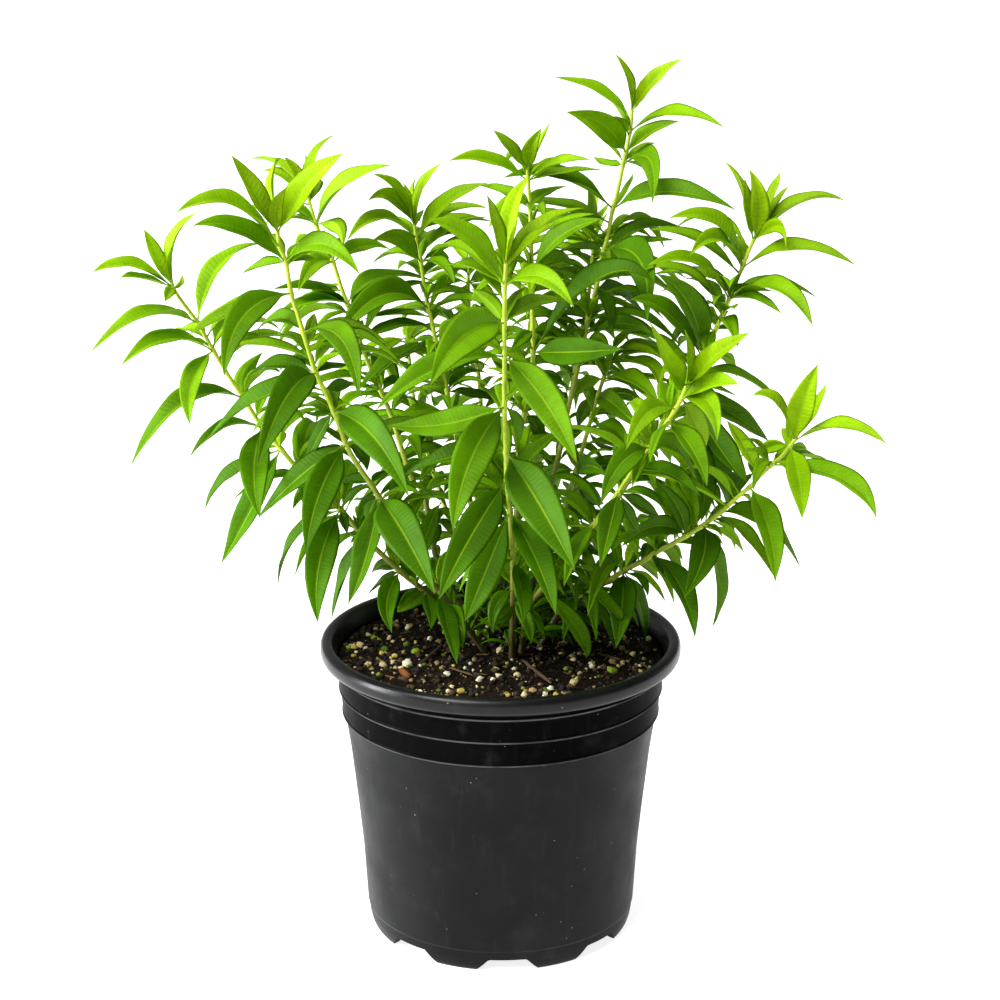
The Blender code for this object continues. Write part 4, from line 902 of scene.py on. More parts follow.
def stem_material():
    g = Nodes("stem_bark")
    co = g.new("TexCoord").outputs["Object"]
    tint = g.new("Attribute", attribute_name="tint").outputs["Color"]
    long = g.new("Mapping")
    long.inputs["Scale"].default_value = (1.0, 1.0, 0.16)
    g.link(co, long.inputs["Vector"])
    streak = g.noise(900.0, 4.0, 0.6, long.outputs[0])
    patch = g.noise(140.0, 3.0, 0.6, co)
    value = g.math("MULTIPLY", g.span(streak, 0.3, 0.7, 0.82, 1.16, "LINEAR"), g.span(patch, 0.3, 0.7, 0.85, 1.12, "LINEAR"))
    grey = g.new("CombineColor")
    for socket in grey.inputs[:3]:
        g.link(value, socket)
    colour = g.mix(1.0, tint, grey.outputs[0], "MULTIPLY")
    shader = g.new("BsdfPrincipled", in_Roughness=0.5)
    shader.inputs["Specular IOR Level"].default_value = 0.35
    g.link(colour, shader.inputs["Base Color"])
    g.link(g.bump(streak, 0.4, 0.0003), shader.inputs["Normal"])
    g.link(shader.outputs[0], g.out.inputs["Surface"])
    return g.mat


def pot_material(name, specular, smooth, dull, depth):
    """Black moulded plastic: its specular level, the range of its roughness and how light its black is (turned low for
    painted shade on the band under the rim and inside the pot), with a painted highlight at each ring line.
    """
    g = Nodes(name)
    co = g.new("TexCoord").outputs["Object"]
    cloud = g.noise(14.0, 4.0, 0.6, co)
    tall = g.new("Mapping")
    tall.inputs["Scale"].default_value = (1.0, 1.0, 0.12)
    g.link(co, tall.inputs["Vector"])
    scuff = g.noise(160.0, 5.0, 0.65, tall.outputs[0])
    base = g.mix(g.span(cloud, 0.35, 0.68, 0.0, 1.0), tuple(c * depth for c in (0.0042, 0.0043, 0.0048)), tuple(c * depth for c in (0.0078, 0.0080, 0.0088)))
    base = g.mix(g.math("MULTIPLY", g.span(scuff, 0.56, 0.80, 0.0, 1.0), 0.22), base, (0.035, 0.035, 0.037))
    height = g.new("SeparateXYZ")
    g.link(co, height.inputs[0])
    # painted highlight: a light grey line round the pot at the height of each ring line, broken up by noise
    for ring in POT_RINGS:
        gap = g.math("ABSOLUTE", g.math("SUBTRACT", height.outputs["Z"], ring * MM))
        painted_ring_highlight = g.math("MULTIPLY", g.span(gap, 0.0002, 0.0009, 0.50, 0.0), g.span(g.noise(45.0, 4.0, 0.6, co), 0.34, 0.62, 0.35, 1.0))
        base = g.mix(painted_ring_highlight, base, (0.16, 0.16, 0.165))
    cells = g.new("TexVoronoi", feature="F1")
    cells.inputs["Scale"].default_value = 230.0
    cells.inputs["Randomness"].default_value = 1.0
    g.link(co, cells.inputs["Vector"])
    speck = g.span(cells.outputs["Distance"], 0.045, 0.10, 1.0, 0.0)
    some = g.span(g.noise(260.0, 1.0, 0.5, co), 0.58, 0.66, 0.0, 1.0)
    dust = g.math("MULTIPLY", speck, some)
    base = g.mix(g.math("MULTIPLY", dust, 0.55), base, (0.34, 0.33, 0.31))
    film = g.math("MULTIPLY", g.span(g.noise(38.0, 5.0, 0.7, co), 0.50, 0.76, 0.0, 1.0), 0.06)
    base = g.mix(film, base, (0.10, 0.10, 0.10))
    rough = g.span(g.noise(26.0, 4.0, 0.6, co), 0.3, 0.7, smooth, dull, "LINEAR")
    rough = g.math("ADD", rough, g.math("MULTIPLY", dust, 0.3))
    shader = g.new("BsdfPrincipled")
    shader.inputs["Specular IOR Level"].default_value = specular
    g.link(base, shader.inputs["Base Color"])
    g.link(rough, shader.inputs["Roughness"])
    normal = g.bump(g.noise(2200.0, 2.0, 0.5, co), 0.10, 0.0002)
    normal = g.bump(g.noise(22.0, 3.0, 0.5, co), 0.10, 0.004, normal)
    g.link(normal, shader.inputs["Normal"])
    g.link(shader.outputs[0], g.out.inputs["Surface"])
    return g.mat


def mix_material():
    g = Nodes("peat")
    co = g.new("TexCoord").outputs["Object"]
    a, b = g.noise(260.0, 6.0, 0.7, co), g.noise(900.0, 4.0, 0.7, co)
    colour = g.mix(g.span(a, 0.34, 0.70, 0.0, 1.0), (0.0035, 0.0022, 0.0014), (0.018, 0.010, 0.0055))
    colour = g.mix(g.span(b, 0.62, 0.80, 0.0, 0.5), colour, (0.060, 0.034, 0.015))
    shader = g.new("BsdfPrincipled", in_Roughness=0.93)
    shader.inputs["Specular IOR Level"].default_value = 0.08
    g.link(colour, shader.inputs["Base Color"])
    normal = g.bump(b, 0.8, 0.0008)
    g.link(g.bump(a, 0.9, 0.0022, normal), shader.inputs["Normal"])
    g.link(shader.outputs[0], g.out.inputs["Surface"])
    return g.mat


def grain_material():
    g = Nodes("grains")
    co = g.new("TexCoord").outputs["Object"]
    tint = g.new("Attribute", attribute_name="tint").outputs["Color"]
    a = g.noise(1400.0, 4.0, 0.65, co)
    value = g.span(a, 0.3, 0.72, 0.62, 1.15, "LINEAR")
    grey = g.new("CombineColor")
    for socket in grey.inputs[:3]:
        g.link(value, socket)
    colour = g.mix(1.0, tint, grey.outputs[0], "MULTIPLY")
    shader = g.new("BsdfPrincipled", in_Roughness=0.85)
    shader.inputs["Specular IOR Level"].default_value = 0.25
    g.link(colour, shader.inputs["Base Color"])
    g.link(g.bump(a, 0.6, 0.0005), shader.inputs["Normal"])
    g.link(shader.outputs[0], g.out.inputs["Surface"])
    return g.mat


LEAF_UP, LEAF_LOW, STEM = leaf_material("leaf_upper", False), leaf_material("leaf_under", True), stem_material()
PEAT, GRAIN = mix_material(), grain_material()
PLASTIC = pot_material("black_plastic", 0.085, 0.32, 0.54, 0.75)
# darker copy of the black plastic for the band under the rim and the inside of the pot: painted shade
PLASTIC_BAND_PAINTED_SHADE = pot_material("black_plastic_band_painted_shade", 0.010, 0.34, 0.46, 0.22)
PLASTIC_RIM = pot_material("black_plastic_rim", 0.20, 0.24, 0.34, 0.5)


def tone(age, gen):
    """Leaf colour by age, a whorl counted as one step."""
    x = min(len(TONES) - 1.001, max(0.0, age * 0.72 + gen.uniform(-0.45, 0.50)))
    i = int(x)
    a, b, f = TONES[i], TONES[i + 1], x - i
    bright = gen.uniform(0.88, 1.14)
    return tuple((p + (q - p) * f) * bright for p, q in zip(a, b))


# ---------------------------------------------------------------------------
# Leaves, and more of them in the depth of the plant and at its back
# ---------------------------------------------------------------------------
pieces = {}
grid = np.full((250, 250), 1e9)          # depth of the nearest leaf in each cell of four sheet units


def cells_of(verts):
    far, high = verts[:, 1] + EYE_BACK, verts[:, 2] - EYE_UP
    depth, up = far * PC - high * PS, far * PS + high * PC
    u = SHEET_U0 + SHEET_FOCAL * verts[:, 0] / depth
    v = SHEET_V0 - SHEET_FOCAL * up / depth
    return np.clip((v / 4).astype(int), 0, 249), np.clip((u / 4).astype(int), 0, 249), depth


for i, (owner, root, mid, tip, wide, side, age, flag) in enumerate(leaves_at):
    gen = random.Random(SEED * 1000 + i)
    young = flag == "T"
    verts, faces, coords, skins = fine_leaf(root, mid, tip, wide, side, young, gen)
    pieces.setdefault(owner, Build()).add(verts, faces, tone(age, gen), coords, skins)
    r, c, depth = cells_of(verts)
    np.minimum.at(grid, (r, c), depth)

LOW, HIGH = (Vector(corner) / MM for corner in CAD_BOX)
# sheet regions where the plant is closed, seen from the front
CLOSED = [(404, 205, 640, 330), (290, 290, 420, 470), (245, 320, 320, 450), (380, 330, 700, 610), (600, 280, 735, 520),
          (640, 440, 760, 560), (290, 440, 420, 590), (440, 560, 610, 645), (640, 215, 700, 300)]
extra, shown = 0, 0
names = list(SHOOTS)


def add_leaf(owner, root, mid, tip, wide_mm, age, gen, need, full=False, sheet=None, least=0):
    """Adds one leaf if it is clear of the others and mostly covered by them from the front; the need is how many
    of its five probe points have to be behind a leaf or in a closed region."""
    global extra, shown
    for q in (mid, mid.lerp(tip, 0.5), tip):
        r = math.hypot(q.x, q.y)
        if q.z < 155.0 or (q.z < 166.0 and r > 79.0):
            return False
        if any(q[k] < LOW[k] + 2 or q[k] > HIGH[k] - 2 for k in range(3)):
            return False
    d = (tip - root).normalized()
    across_up = d.cross(Vector((0, 0, 1))).normalized()
    sight = (mid - EYE).normalized()
    flat = d.cross(sight).normalized()
    wide = wide_mm * max(0.32, abs(across_up.dot(flat))) * SHEET_FOCAL / (mid - EYE).length
    normal = across_up.cross(d)
    side = 1 if (normal if normal.z > 0 else -normal).dot(sight) < 0 else -1
    if sheet:
        wide, side = sheet, 1
    probe = [root.lerp(mid, 0.5), mid, mid.lerp(tip, 0.35), mid.lerp(tip, 0.7), tip]
    covered = seen = 0
    for q in probe:
        u, v = on_sheet(q)
        nearest = grid[min(249, max(0, int(v / 4))), min(249, max(0, int(u / 4)))]
        far = (q.y + EYE_BACK) * PC - (q.z - EYE_UP) * PS
        behind = nearest < far - 3.0
        open_sheet = nearest > 1e8 and any(z[0] < u < z[2] and z[1] < v < z[3] for z in CLOSED)
        covered += behind or open_sheet
        seen += open_sheet
    if covered < need or seen < least:
        return False
    outer = Placed("extra", *blade(root, mid, tip, wide, side, grow=0.08, start=0.15))
    if any(other.meets(outer) for other in placed):
        return False
    placed.append(outer)
    verts, faces, coords, skins = fine_leaf(root, mid, tip, wide, side, False, gen, full=full)
    pieces.setdefault(owner, Build()).add(verts, faces, tone(age, gen), coords, skins)
    r, c, depth = cells_of(verts)
    np.minimum.at(grid, (r, c), depth)
    extra += 1
    shown += seen > 1
    return True


# side shoots: tufts of young leaves in the leaf axils
for i, (owner, flag, name, centre, direction, radius, leaves) in enumerate(whorls):
    gen = random.Random(SEED * 31 + i)
    if flag == "T" or gen.random() < 0.25:
        continue
    sideways = direction.orthogonal().normalized()
    first = gen.uniform(0, 2 * math.pi)
    for tuft in range(2):
        turn = first + tuft * math.pi
        out = sideways * math.cos(turn) + direction.cross(sideways) * math.sin(turn)
        start = centre + direction * 1.2 + out * (radius * 0.4)
        for k in range(5):
            swing = gen.uniform(0, 2 * math.pi) if k else 0.0
            aim = out * 0.75 + direction * gen.uniform(0.35, 0.8)
            aim += (sideways * math.cos(swing) + direction.cross(sideways) * math.sin(swing)) * (0.55 if k else 0.0)
            aim.normalize()
            length = gen.uniform(13.0, 27.0)
            tip = start + aim * length + Vector((0, 0, -length * gen.uniform(0.0, 0.25)))
            mid = start + aim * (length * 0.5) + Vector((0, 0, length * gen.uniform(0.0, 0.07)))
            add_leaf("stem_" + name, start, mid, tip, length * gen.uniform(0.24, 0.30), gen.uniform(0.3, 2.2), gen, 4)

# leaves low on the shoots, in front of their feet
for name, (u, v), (mu, mv), (tu, tv), sheet, ahead in (
        ("09", (570, 606), (578, 632), (586, 658), 17.0, 9.0), ("05", (512, 604), (499, 618), (478, 620), 15.0, 7.0),
        ("05", (514, 600), (527, 620), (531, 644), 15.0, 8.0), ("02", (470, 610), (461, 628), (463, 648), 13.0, 6.0),
        ("07", (556, 606), (547, 624), (539, 642), 16.0, 7.0), ("05", (508, 590), (496, 606), (493, 634), 16.0, 8.0),
        ("09", (600, 588), (609, 606), (621, 618), 12.0, 6.0), ("03", (430, 590), (413, 602), (397, 612), 14.0, 6.0),
        ("05", (513, 575), (524, 596), (522, 622), 17.0, 9.0), ("07", (566, 588), (569, 608), (561, 628), 17.0, 8.0)):
    centre, direction, radius = on_shoot(*lines[name], u, v)
    gen = random.Random(SEED * 17 + u)
    mid, tip = at(mu, mv, centre.y - ahead), at(tu, tv, centre.y - 1.5 * ahead)
    add_leaf("stem_" + name, centre, mid, tip, 6.0, gen.uniform(3.8, 5.0), gen, 0, full=True, sheet=sheet)


order = list(names) + [name for name in names if lines[name][0][-1].x > 40.0]


def random_leaf(attempt, salt, reach, need, least):
    """Tries one leaf at a random place on a shoot."""
    gen = random.Random(SEED * salt + attempt)
    name = order[attempt % len(order)]
    points, radii = lines[name]
    pick = gen.uniform(1.05, len(points) - reach)
    i, f = int(pick), pick - int(pick)
    centre = points[i].lerp(points[i + 1], f)
    direction = (points[i + 1] - points[i]).normalized()
    radius = radii[i] + (radii[i + 1] - radii[i]) * f
    turn = gen.uniform(0, 2 * math.pi)
    sideways = direction.orthogonal().normalized()
    out = sideways * math.cos(turn) + direction.cross(sideways) * math.sin(turn)
    low = centre.z < 190.0
    length = gen.uniform(17.0, 34.0) if low else gen.uniform(26.0, 56.0)
    rise = gen.uniform(0.0, 0.8) if low else gen.uniform(-0.1, 0.55)
    aim = (out + Vector((0, 0, rise))).normalized()
    root = centre + out * (radius * 0.4)
    tip = root + aim * length + Vector((0, 0, -length * gen.uniform(0.05, 0.5)))
    mid = root + aim * (length * 0.5) + Vector((0, 0, length * gen.uniform(-0.02, 0.07)))
    part = 1.0 - pick / len(points)
    return add_leaf("stem_" + name, root, mid, tip, length * gen.uniform(0.21, 0.26), 0.9 + 4.0 * part, gen,
                    min(need, 3) if low else need, least=least)


# leaves that close the plant seen from the front, then older ones in its depth, at its back and low down
for attempt in range(16000):
    if shown >= 345:
        break
    random_leaf(attempt, 7919, 1.1, 4, 2)
for attempt in range(9000):
    if extra >= 790:
        break
    random_leaf(attempt, 6151, 1.5, 4, 0)
print("leaves added", extra, "of them showing", shown)



# ---------------------------------------------------------------------------
# Stems: round bars with a swelling at each whorl, green above and woody below
# ---------------------------------------------------------------------------
def smooth_line(points, radii, step=1.6):
    P, R = np.array([list(p) for p in points]), np.array(radii)
    P = np.vstack([2 * P[0] - P[1], P, 2 * P[-1] - P[-2]])
    R = np.concatenate([[R[0]], R, [R[-1]]])
    out, rad = [], []
    for i in range(1, len(P) - 2):
        n = max(2, int(np.linalg.norm(P[i + 1] - P[i]) / step))
        for k in range(n):
            t = k / n
            a = -0.5 * t ** 3 + t ** 2 - 0.5 * t
            b = 1.5 * t ** 3 - 2.5 * t ** 2 + 1
            c = -1.5 * t ** 3 + 2 * t ** 2 + 0.5 * t
            d = 0.5 * t ** 3 - 0.5 * t ** 2
            out.append(a * P[i - 1] + b * P[i] + c * P[i + 1] + d * P[i + 2])
            rad.append(R[i] + (R[i + 1] - R[i]) * t)
    out.append(P[-2])
    rad.append(R[-2])
    return np.array(out), np.array(rad)


STEM_GREEN, STEM_OLIVE, STEM_WOOD = np.array((0.36, 0.47, 0.018)), np.array((0.13, 0.13, 0.014)), np.array((0.045, 0.030, 0.013))
for name, (points, radii) in lines.items():
    P, R = smooth_line(points, radii)
    reach = np.concatenate([[0], np.cumsum(np.linalg.norm(np.diff(P, axis=0), axis=1))])
    share = reach / reach[-1]
    knots = np.array([list(w[3]) for w in whorls if w[2] == name])
    swell = np.exp(-(np.linalg.norm(P[:, None] - knots[None], axis=2).min(1) / 1.8) ** 2)
    R = R * (0.74 + 0.14 * share) + swell * 0.34
    R[-1] *= 0.5
    D = unit(np.gradient(P, axis=0))
    S = np.cross(D, np.array([0.0, 1.0, 0.0]))
    S = unit(S)
    O = np.cross(D, S)
    sides = 14
    a = np.linspace(0, 2 * np.pi, sides, endpoint=False)
    ribbed = 1 + 0.045 * np.cos(4 * a)
    ring = P[:, None] + (S[:, None] * np.cos(a)[None, :, None] + O[:, None] * np.sin(a)[None, :, None]) * (R[:, None] * ribbed)[:, :, None]
    V = np.concatenate([ring.reshape(-1, 3), P[:1], P[-1:] + D[-1:] * 0.8])
    n = len(P)
    I = np.arange(n * sides).reshape(n, sides)
    J = np.roll(I, -1, axis=1)
    F = np.stack([I[:-1], J[:-1], J[1:], I[1:]], -1).reshape(-1, 4)
    caps = [[I[0, k], n * sides, J[0, k], -1] for k in range(sides)] + [[I[-1, k], J[-1, k], n * sides + 1, -1] for k in range(sides)]
    F = np.concatenate([F, np.array(caps)])
    g1 = np.clip((share - 0.18) / 0.45, 0, 1)[:, None]
    g2 = np.clip(share / 0.22, 0, 1)[:, None]
    colour = STEM_WOOD * (1 - g2) + (STEM_OLIVE * (1 - g1) + STEM_GREEN * g1) * g2
    colour = np.repeat(colour, sides, axis=0)
    colour = np.concatenate([colour, colour[:1], colour[-1:]])
    pieces.setdefault("stem_" + name, Build()).add(V, F, colour, None, np.full(len(F), 2))

for owner, build in pieces.items():
    piece = put("fine_" + owner, build.mesh("fine_" + owner, [LEAF_UP, LEAF_LOW, STEM]))
    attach(piece, "root")
    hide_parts(owner)


# ---------------------------------------------------------------------------
# Nursery pot
# ---------------------------------------------------------------------------
def rounded(profile, radius=0.45, steps=3):
    out = [profile[0]]
    for a, b, c in zip(profile, profile[1:], profile[2:]):
        A, B, C = (np.array(p, float) for p in (a, b, c))
        la, lc = np.linalg.norm(A - B), np.linalg.norm(C - B)
        r = min(radius, 0.4 * la, 0.4 * lc)
        p0, p1 = B + (A - B) / la * r, B + (C - B) / lc * r
        for k in range(steps + 1):
            t = k / steps
            out.append(tuple(p0 * (1 - t) ** 2 + B * (2 * t * (1 - t)) + p1 * t * t))
    out.append(profile[-1])
    return out


def turned(name, profile, steps):
    mesh = bpy.data.meshes.new(name)
    mesh.from_pydata([(r * MM, 0.0, z * MM) for r, z in profile], [(i, i + 1) for i in range(len(profile) - 1)], [])
    obj = put(name, mesh)
    turn = obj.modifiers.new("turn", "SCREW")
    turn.steps = turn.render_steps = steps
    turn.use_merge_vertices = True
    turn.merge_threshold = 1e-6
    result = baked(obj)
    bpy.data.objects.remove(obj)
    return result


RIM = [(88.2, 157.4), (88.7, 158.8), (89.8, 159.6), (91.6, 160.0), (93.3, 159.6), (94.4, 158.5), (94.95, 156.8),
       (95.0, 155.0), (94.8, 153.2), (94.1, 151.7), (93.0, 151.0)]
BELOW = []
for p in (p for p in POT_OUTSIDE if p[1] < 150.9 or p == (88.4, 151.0)):
    if p == (70.8, 0.0):
        BELOW += [(71.0, 7.0), (70.4, 4.0), (69.7, 1.8), (68.9, 0.4), (68.5, 0.0)]
    elif p[1] in POT_RINGS:
        BELOW += [(p[0] + 0.05, p[1] + 1.7), (p[0] + 0.42, p[1] + 0.9), (p[0] + 0.42, p[1] + 0.3), (p[0], p[1] - 0.05)]
    else:
        BELOW.append(p)
pot_profile = rounded(POT_FLOOR + POT_INSIDE, 0.5) + RIM + rounded(BELOW + POT_UNDERSIDE, 0.4)
pot_mesh = turned("pot_body", pot_profile, 192)
pot = put("fine_nursery_pot", pot_mesh)
group = bpy.data.collections.new("notches")
bpy.context.scene.collection.children.link(group)
cutters = []
for k in range(NOTCHES):
    angle = math.radians(-90.0 + NOTCH_FIRST + k * 360.0 / NOTCHES)
    out, along = Vector((math.cos(angle), math.sin(angle), 0)), Vector((-math.sin(angle), math.cos(angle), 0))
    low, top = (70.8 * math.radians(w / 2) for w in (NOTCH_LOW, NOTCH_TOP))
    low += (low - top) / NOTCH_H
    bm = bmesh.new()
    bmesh.ops.create_cube(bm, size=1.0)
    for v in bm.verts:
        half = low if v.co.z < 0 else top
        near = 57.0 if v.co.x < 0 else 78.0
        v.co = (out * near + along * math.copysign(half, v.co.y)
                + Vector((0, 0, -1.0 if v.co.z < 0 else NOTCH_H))) * MM
    bmesh.ops.bevel(bm, geom=[e for e in bm.edges if abs((e.verts[0].co - e.verts[1].co).normalized().dot(out)) > 0.9],
                    offset=1.2 * MM, segments=4, profile=0.5, affect="EDGES")
    bmesh.ops.recalc_face_normals(bm, faces=bm.faces)
    me = bpy.data.meshes.new(f"notch_{k}")
    bm.to_mesh(me)
    bm.free()
    cutter = bpy.data.objects.new(f"notch_{k}", me)
    group.objects.link(cutter)
    cutters.append(cutter)
cut = pot.modifiers.new("cut", "BOOLEAN")
cut.operation, cut.solver, cut.operand_type, cut.collection = "DIFFERENCE", "EXACT", "COLLECTION", group
result = baked(pot, weld=False)
pot.modifiers.clear()
pot.data = result
for cutter in cutters:
    bpy.data.objects.remove(cutter)
bpy.data.collections.remove(group)
pot.data.materials.clear()
for mat in (PLASTIC, PLASTIC_BAND_PAINTED_SHADE, PLASTIC_RIM):
    pot.data.materials.append(mat)
# the band under the rim and the inside of the pot take the darker copy as painted shade; the rim takes the glossy one
for face in pot.data.polygons:
    z = face.center.z / MM
    inner = math.hypot(face.center.x, face.center.y) / MM < 60.0 + 0.155 * z - 1.0 or face.normal.dot(face.center) < 0
    face.material_index = 2 if z > 150.9 else 1 if z > POT_RINGS[-1] - 0.4 or inner else 0
pot.data.shade_smooth()
pot.data.set_sharp_from_angle(angle=math.radians(40))
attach(pot, "root")
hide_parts("nursery_pot")


# ---------------------------------------------------------------------------
# Potting mix, perlite, pebbles, bark and twigs
# ---------------------------------------------------------------------------
def soil_height(x, y):
    r = math.hypot(x, y)
    z = 150.0 - 0.5 * min(1.0, r / 60.0) + 0.6 * max(0.0, (r - 76) / 10)
    p = Vector((x, y, 0.0))
    fade = max(0.0, min(1.0, (86.5 - r) / 3.0))
    z += fade * (1.5 * noise.noise(p * 0.075) + 1.0 * noise.noise(p * 0.21 + Vector((7, 3, 1))) + 0.55 * noise.noise(p * 0.55))
    return z


rings = [k for k in np.linspace(0.5, 85.2, 74)]
V, sides = [], 200
for r in rings:
    for k in range(sides):
        a = 2 * math.pi * k / sides
        x, y = r * math.cos(a), r * math.sin(a)
        V.append((x, y, soil_height(x, y)))
for r, z in SOIL_SIDE[1:-1]:
    for k in range(sides):
        a = 2 * math.pi * k / sides
        V.append((r * math.cos(a), r * math.sin(a), z))
n = len(V) // sides
I = np.arange(n * sides).reshape(n, sides)
J = np.roll(I, -1, axis=1)
F = np.stack([I[:-1], I[1:], J[1:], J[:-1]], -1).reshape(-1, 4).tolist()
V.append((0, 0, soil_height(0, 0)))
V.append((0, 0, SOIL_SIDE[-1][1]))
F += [[int(I[0, k]), int(J[0, k]), n * sides, -1] for k in range(sides)]
F += [[int(J[-1, k]), int(I[-1, k]), n * sides + 1, -1] for k in range(sides)]
soil_build = Build()
soil_build.add(np.array(V), np.array(F), (0.02, 0.013, 0.008))
soil = put("fine_soil", soil_build.mesh("fine_soil", [PEAT]))
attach(soil, "root")
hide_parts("soil")


def ball(subdivisions):
    bm = bmesh.new()
    bmesh.ops.create_icosphere(bm, subdivisions=subdivisions, radius=1.0)
    V = np.array([list(v.co) for v in bm.verts])
    F = np.array([[v.index for v in f.verts] + [-1] for f in bm.faces])
    bm.free()
    return V, F


SMALL, MEDIUM, LARGE = ball(1), ball(2), ball(3)


def grain(build, x, y, size, colour, gen, shape=SMALL, sink=0.35, lumpy=0.28, flat=0.8):
    V, F = shape
    off = Vector((gen.uniform(-90, 90), gen.uniform(-90, 90), gen.uniform(-90, 90)))
    bump = np.array([1 + lumpy * (noise.noise(Vector(p) * 1.3 + off) + 0.6 * noise.noise(Vector(p) * 3.1 + off)) for p in V])
    Q = V * bump[:, None] * np.array([size * gen.uniform(0.85, 1.25), size * gen.uniform(0.8, 1.1), size * flat])
    a, b = gen.uniform(0, 6.28), gen.uniform(-0.5, 0.5)
    ca, sa, cb, sb = math.cos(a), math.sin(a), math.cos(b), math.sin(b)
    Q = Q @ np.array([[ca, -sa, 0], [sa, ca, 0], [0, 0, 1]]) @ np.array([[1, 0, 0], [0, cb, -sb], [0, sb, cb]])
    z = soil_height(x, y) + size * flat * (1 - 2 * sink)
    bright = gen.uniform(0.75, 1.1)
    build.add(Q + np.array([x, y, z]), F, tuple(c * bright for c in colour))


def ground(u, v):
    """The point of the mix seen at (u, v)."""
    z = 149.6
    a, b = (u - SHEET_U0) / SHEET_FOCAL, (SHEET_V0 - v) / SHEET_FOCAL
    reach = (z - EYE_UP) / (b * PC - PS)
    return reach * a, reach * (PC + b * PS) - EYE_BACK


CREAM, WHITE, TAN, YELLOW = (0.62, 0.52, 0.27), (0.74, 0.68, 0.50), (0.30, 0.20, 0.08), (0.50, 0.38, 0.07)
MOSS, LIME, BARK, CLOD = (0.075, 0.150, 0.006), (0.20, 0.30, 0.012), (0.27, 0.085, 0.022), (0.020, 0.011, 0.006)
clods, perlite, stones = Build(), Build(), Build()
gen = random.Random(SEED + 5)
for k in range(1150):
    r, a = 84.3 * math.sqrt(gen.random()), gen.uniform(0, 2 * math.pi)
    size = gen.choice([0.6, 0.8, 1.0, 1.3, 1.8]) * gen.uniform(0.8, 1.2)
    shade = gen.choice([(0.007, 0.005, 0.003), CLOD, (0.034, 0.018, 0.008), (0.010, 0.007, 0.005), (0.060, 0.034, 0.012)])
    if r < 85.0 - size:
        grain(clods, r * math.cos(a), r * math.sin(a), size, shade, gen, SMALL, 0.3, 0.5, 0.75)
for k in range(500):
    r, a = 84.0 * math.sqrt(gen.uniform(0.02, 1.0)), gen.uniform(0, 2 * math.pi)
    size = gen.choice([0.35, 0.45, 0.55, 0.7, 0.9, 1.2, 1.5]) * gen.uniform(0.85, 1.15)
    colour = gen.choice([CREAM, WHITE, CREAM, (0.45, 0.34, 0.16), TAN, YELLOW, (0.22, 0.20, 0.04)])
    if r < 84.8 - size:
        grain(perlite, r * math.cos(a), r * math.sin(a), size, colour, gen, MEDIUM if size > 1.0 else SMALL, 0.32, 0.55, 0.8)
for k in range(70):
    r, a = 82.0 * math.sqrt(gen.random()), gen.uniform(0, 2 * math.pi)
    grain(stones, r * math.cos(a), r * math.sin(a), gen.uniform(0.9, 1.7), gen.choice([MOSS, LIME, TAN, YELLOW, (0.16, 0.12, 0.05), MOSS]),
          gen, MEDIUM, 0.32, 0.4, 0.8)
for u, v, size, colour in ((385, 649, 2.4, MOSS), (407, 645, 2.0, MOSS), (416, 654, 2.2, LIME), (612, 672, 2.3, LIME),
                           (545, 692, 1.9, MOSS), (461, 692, 2.0, YELLOW), (533, 692, 1.9, TAN), (574, 684, 2.1, CREAM),
                           (360, 647, 2.0, CREAM), (500, 653, 2.2, CREAM), (407, 665, 2.5, WHITE), (368, 664, 2.0, WHITE),
                           (383, 665, 1.9, CREAM), (395, 657, 1.8, YELLOW), (430, 640, 1.8, WHITE), (480, 681, 1.9, WHITE),
                           (592, 668, 1.8, WHITE), (633, 655, 1.9, CREAM), (648, 640, 1.8, WHITE), (622, 650, 1.7, TAN),
                           (447, 677, 1.8, WHITE), (517, 676, 1.8, CREAM), (374, 640, 1.7, LIME), (350, 640, 1.6, WHITE)):
    x, y = ground(u, v)
    if math.hypot(x, y) < 83.0:
        grain(stones, x, y, size, colour, gen, LARGE, 0.30, 0.32, 0.82)


def bar(build, ends, radius, colour, gen, flat=False):
    """A twig or chip lying on the mix; flat ends are given in plan, the others on the sheet."""
    (x0, y0), (x1, y1) = ends if flat else (ground(*e) for e in ends)
    n = 9
    P = []
    for k in range(n):
        t = k / (n - 1)
        x, y = x0 + (x1 - x0) * t, y0 + (y1 - y0) * t
        P.append((x + gen.uniform(-0.25, 0.25), y + gen.uniform(-0.25, 0.25), 0.0))
    height = max(soil_height(p[0], p[1]) for p in P) + radius * 0.6
    P = np.array([(p[0], p[1], height) for p in P])
    D = unit(np.gradient(P, axis=0))
    S = unit(np.cross(D, np.array([0, 0, 1.0])))
    O = np.cross(S, D)
    a = np.linspace(0, 2 * np.pi, 8, endpoint=False)
    R = radius * np.array([0.55] + [gen.uniform(0.85, 1.15) for _ in range(n - 2)] + [0.5])
    ring = P[:, None] + (S[:, None] * np.cos(a)[None, :, None] + O[:, None] * np.sin(a)[None, :, None]) * R[:, None, None]
    V = np.concatenate([ring.reshape(-1, 3), P[:1], P[-1:]])
    I = np.arange(n * 8).reshape(n, 8)
    J = np.roll(I, -1, axis=1)
    F = np.stack([I[:-1], J[:-1], J[1:], I[1:]], -1).reshape(-1, 4)
    caps = [[I[0, k], n * 8, J[0, k], -1] for k in range(8)] + [[I[-1, k], J[-1, k], n * 8 + 1, -1] for k in range(8)]
    build.add(V, np.concatenate([F, np.array(caps)]), colour)


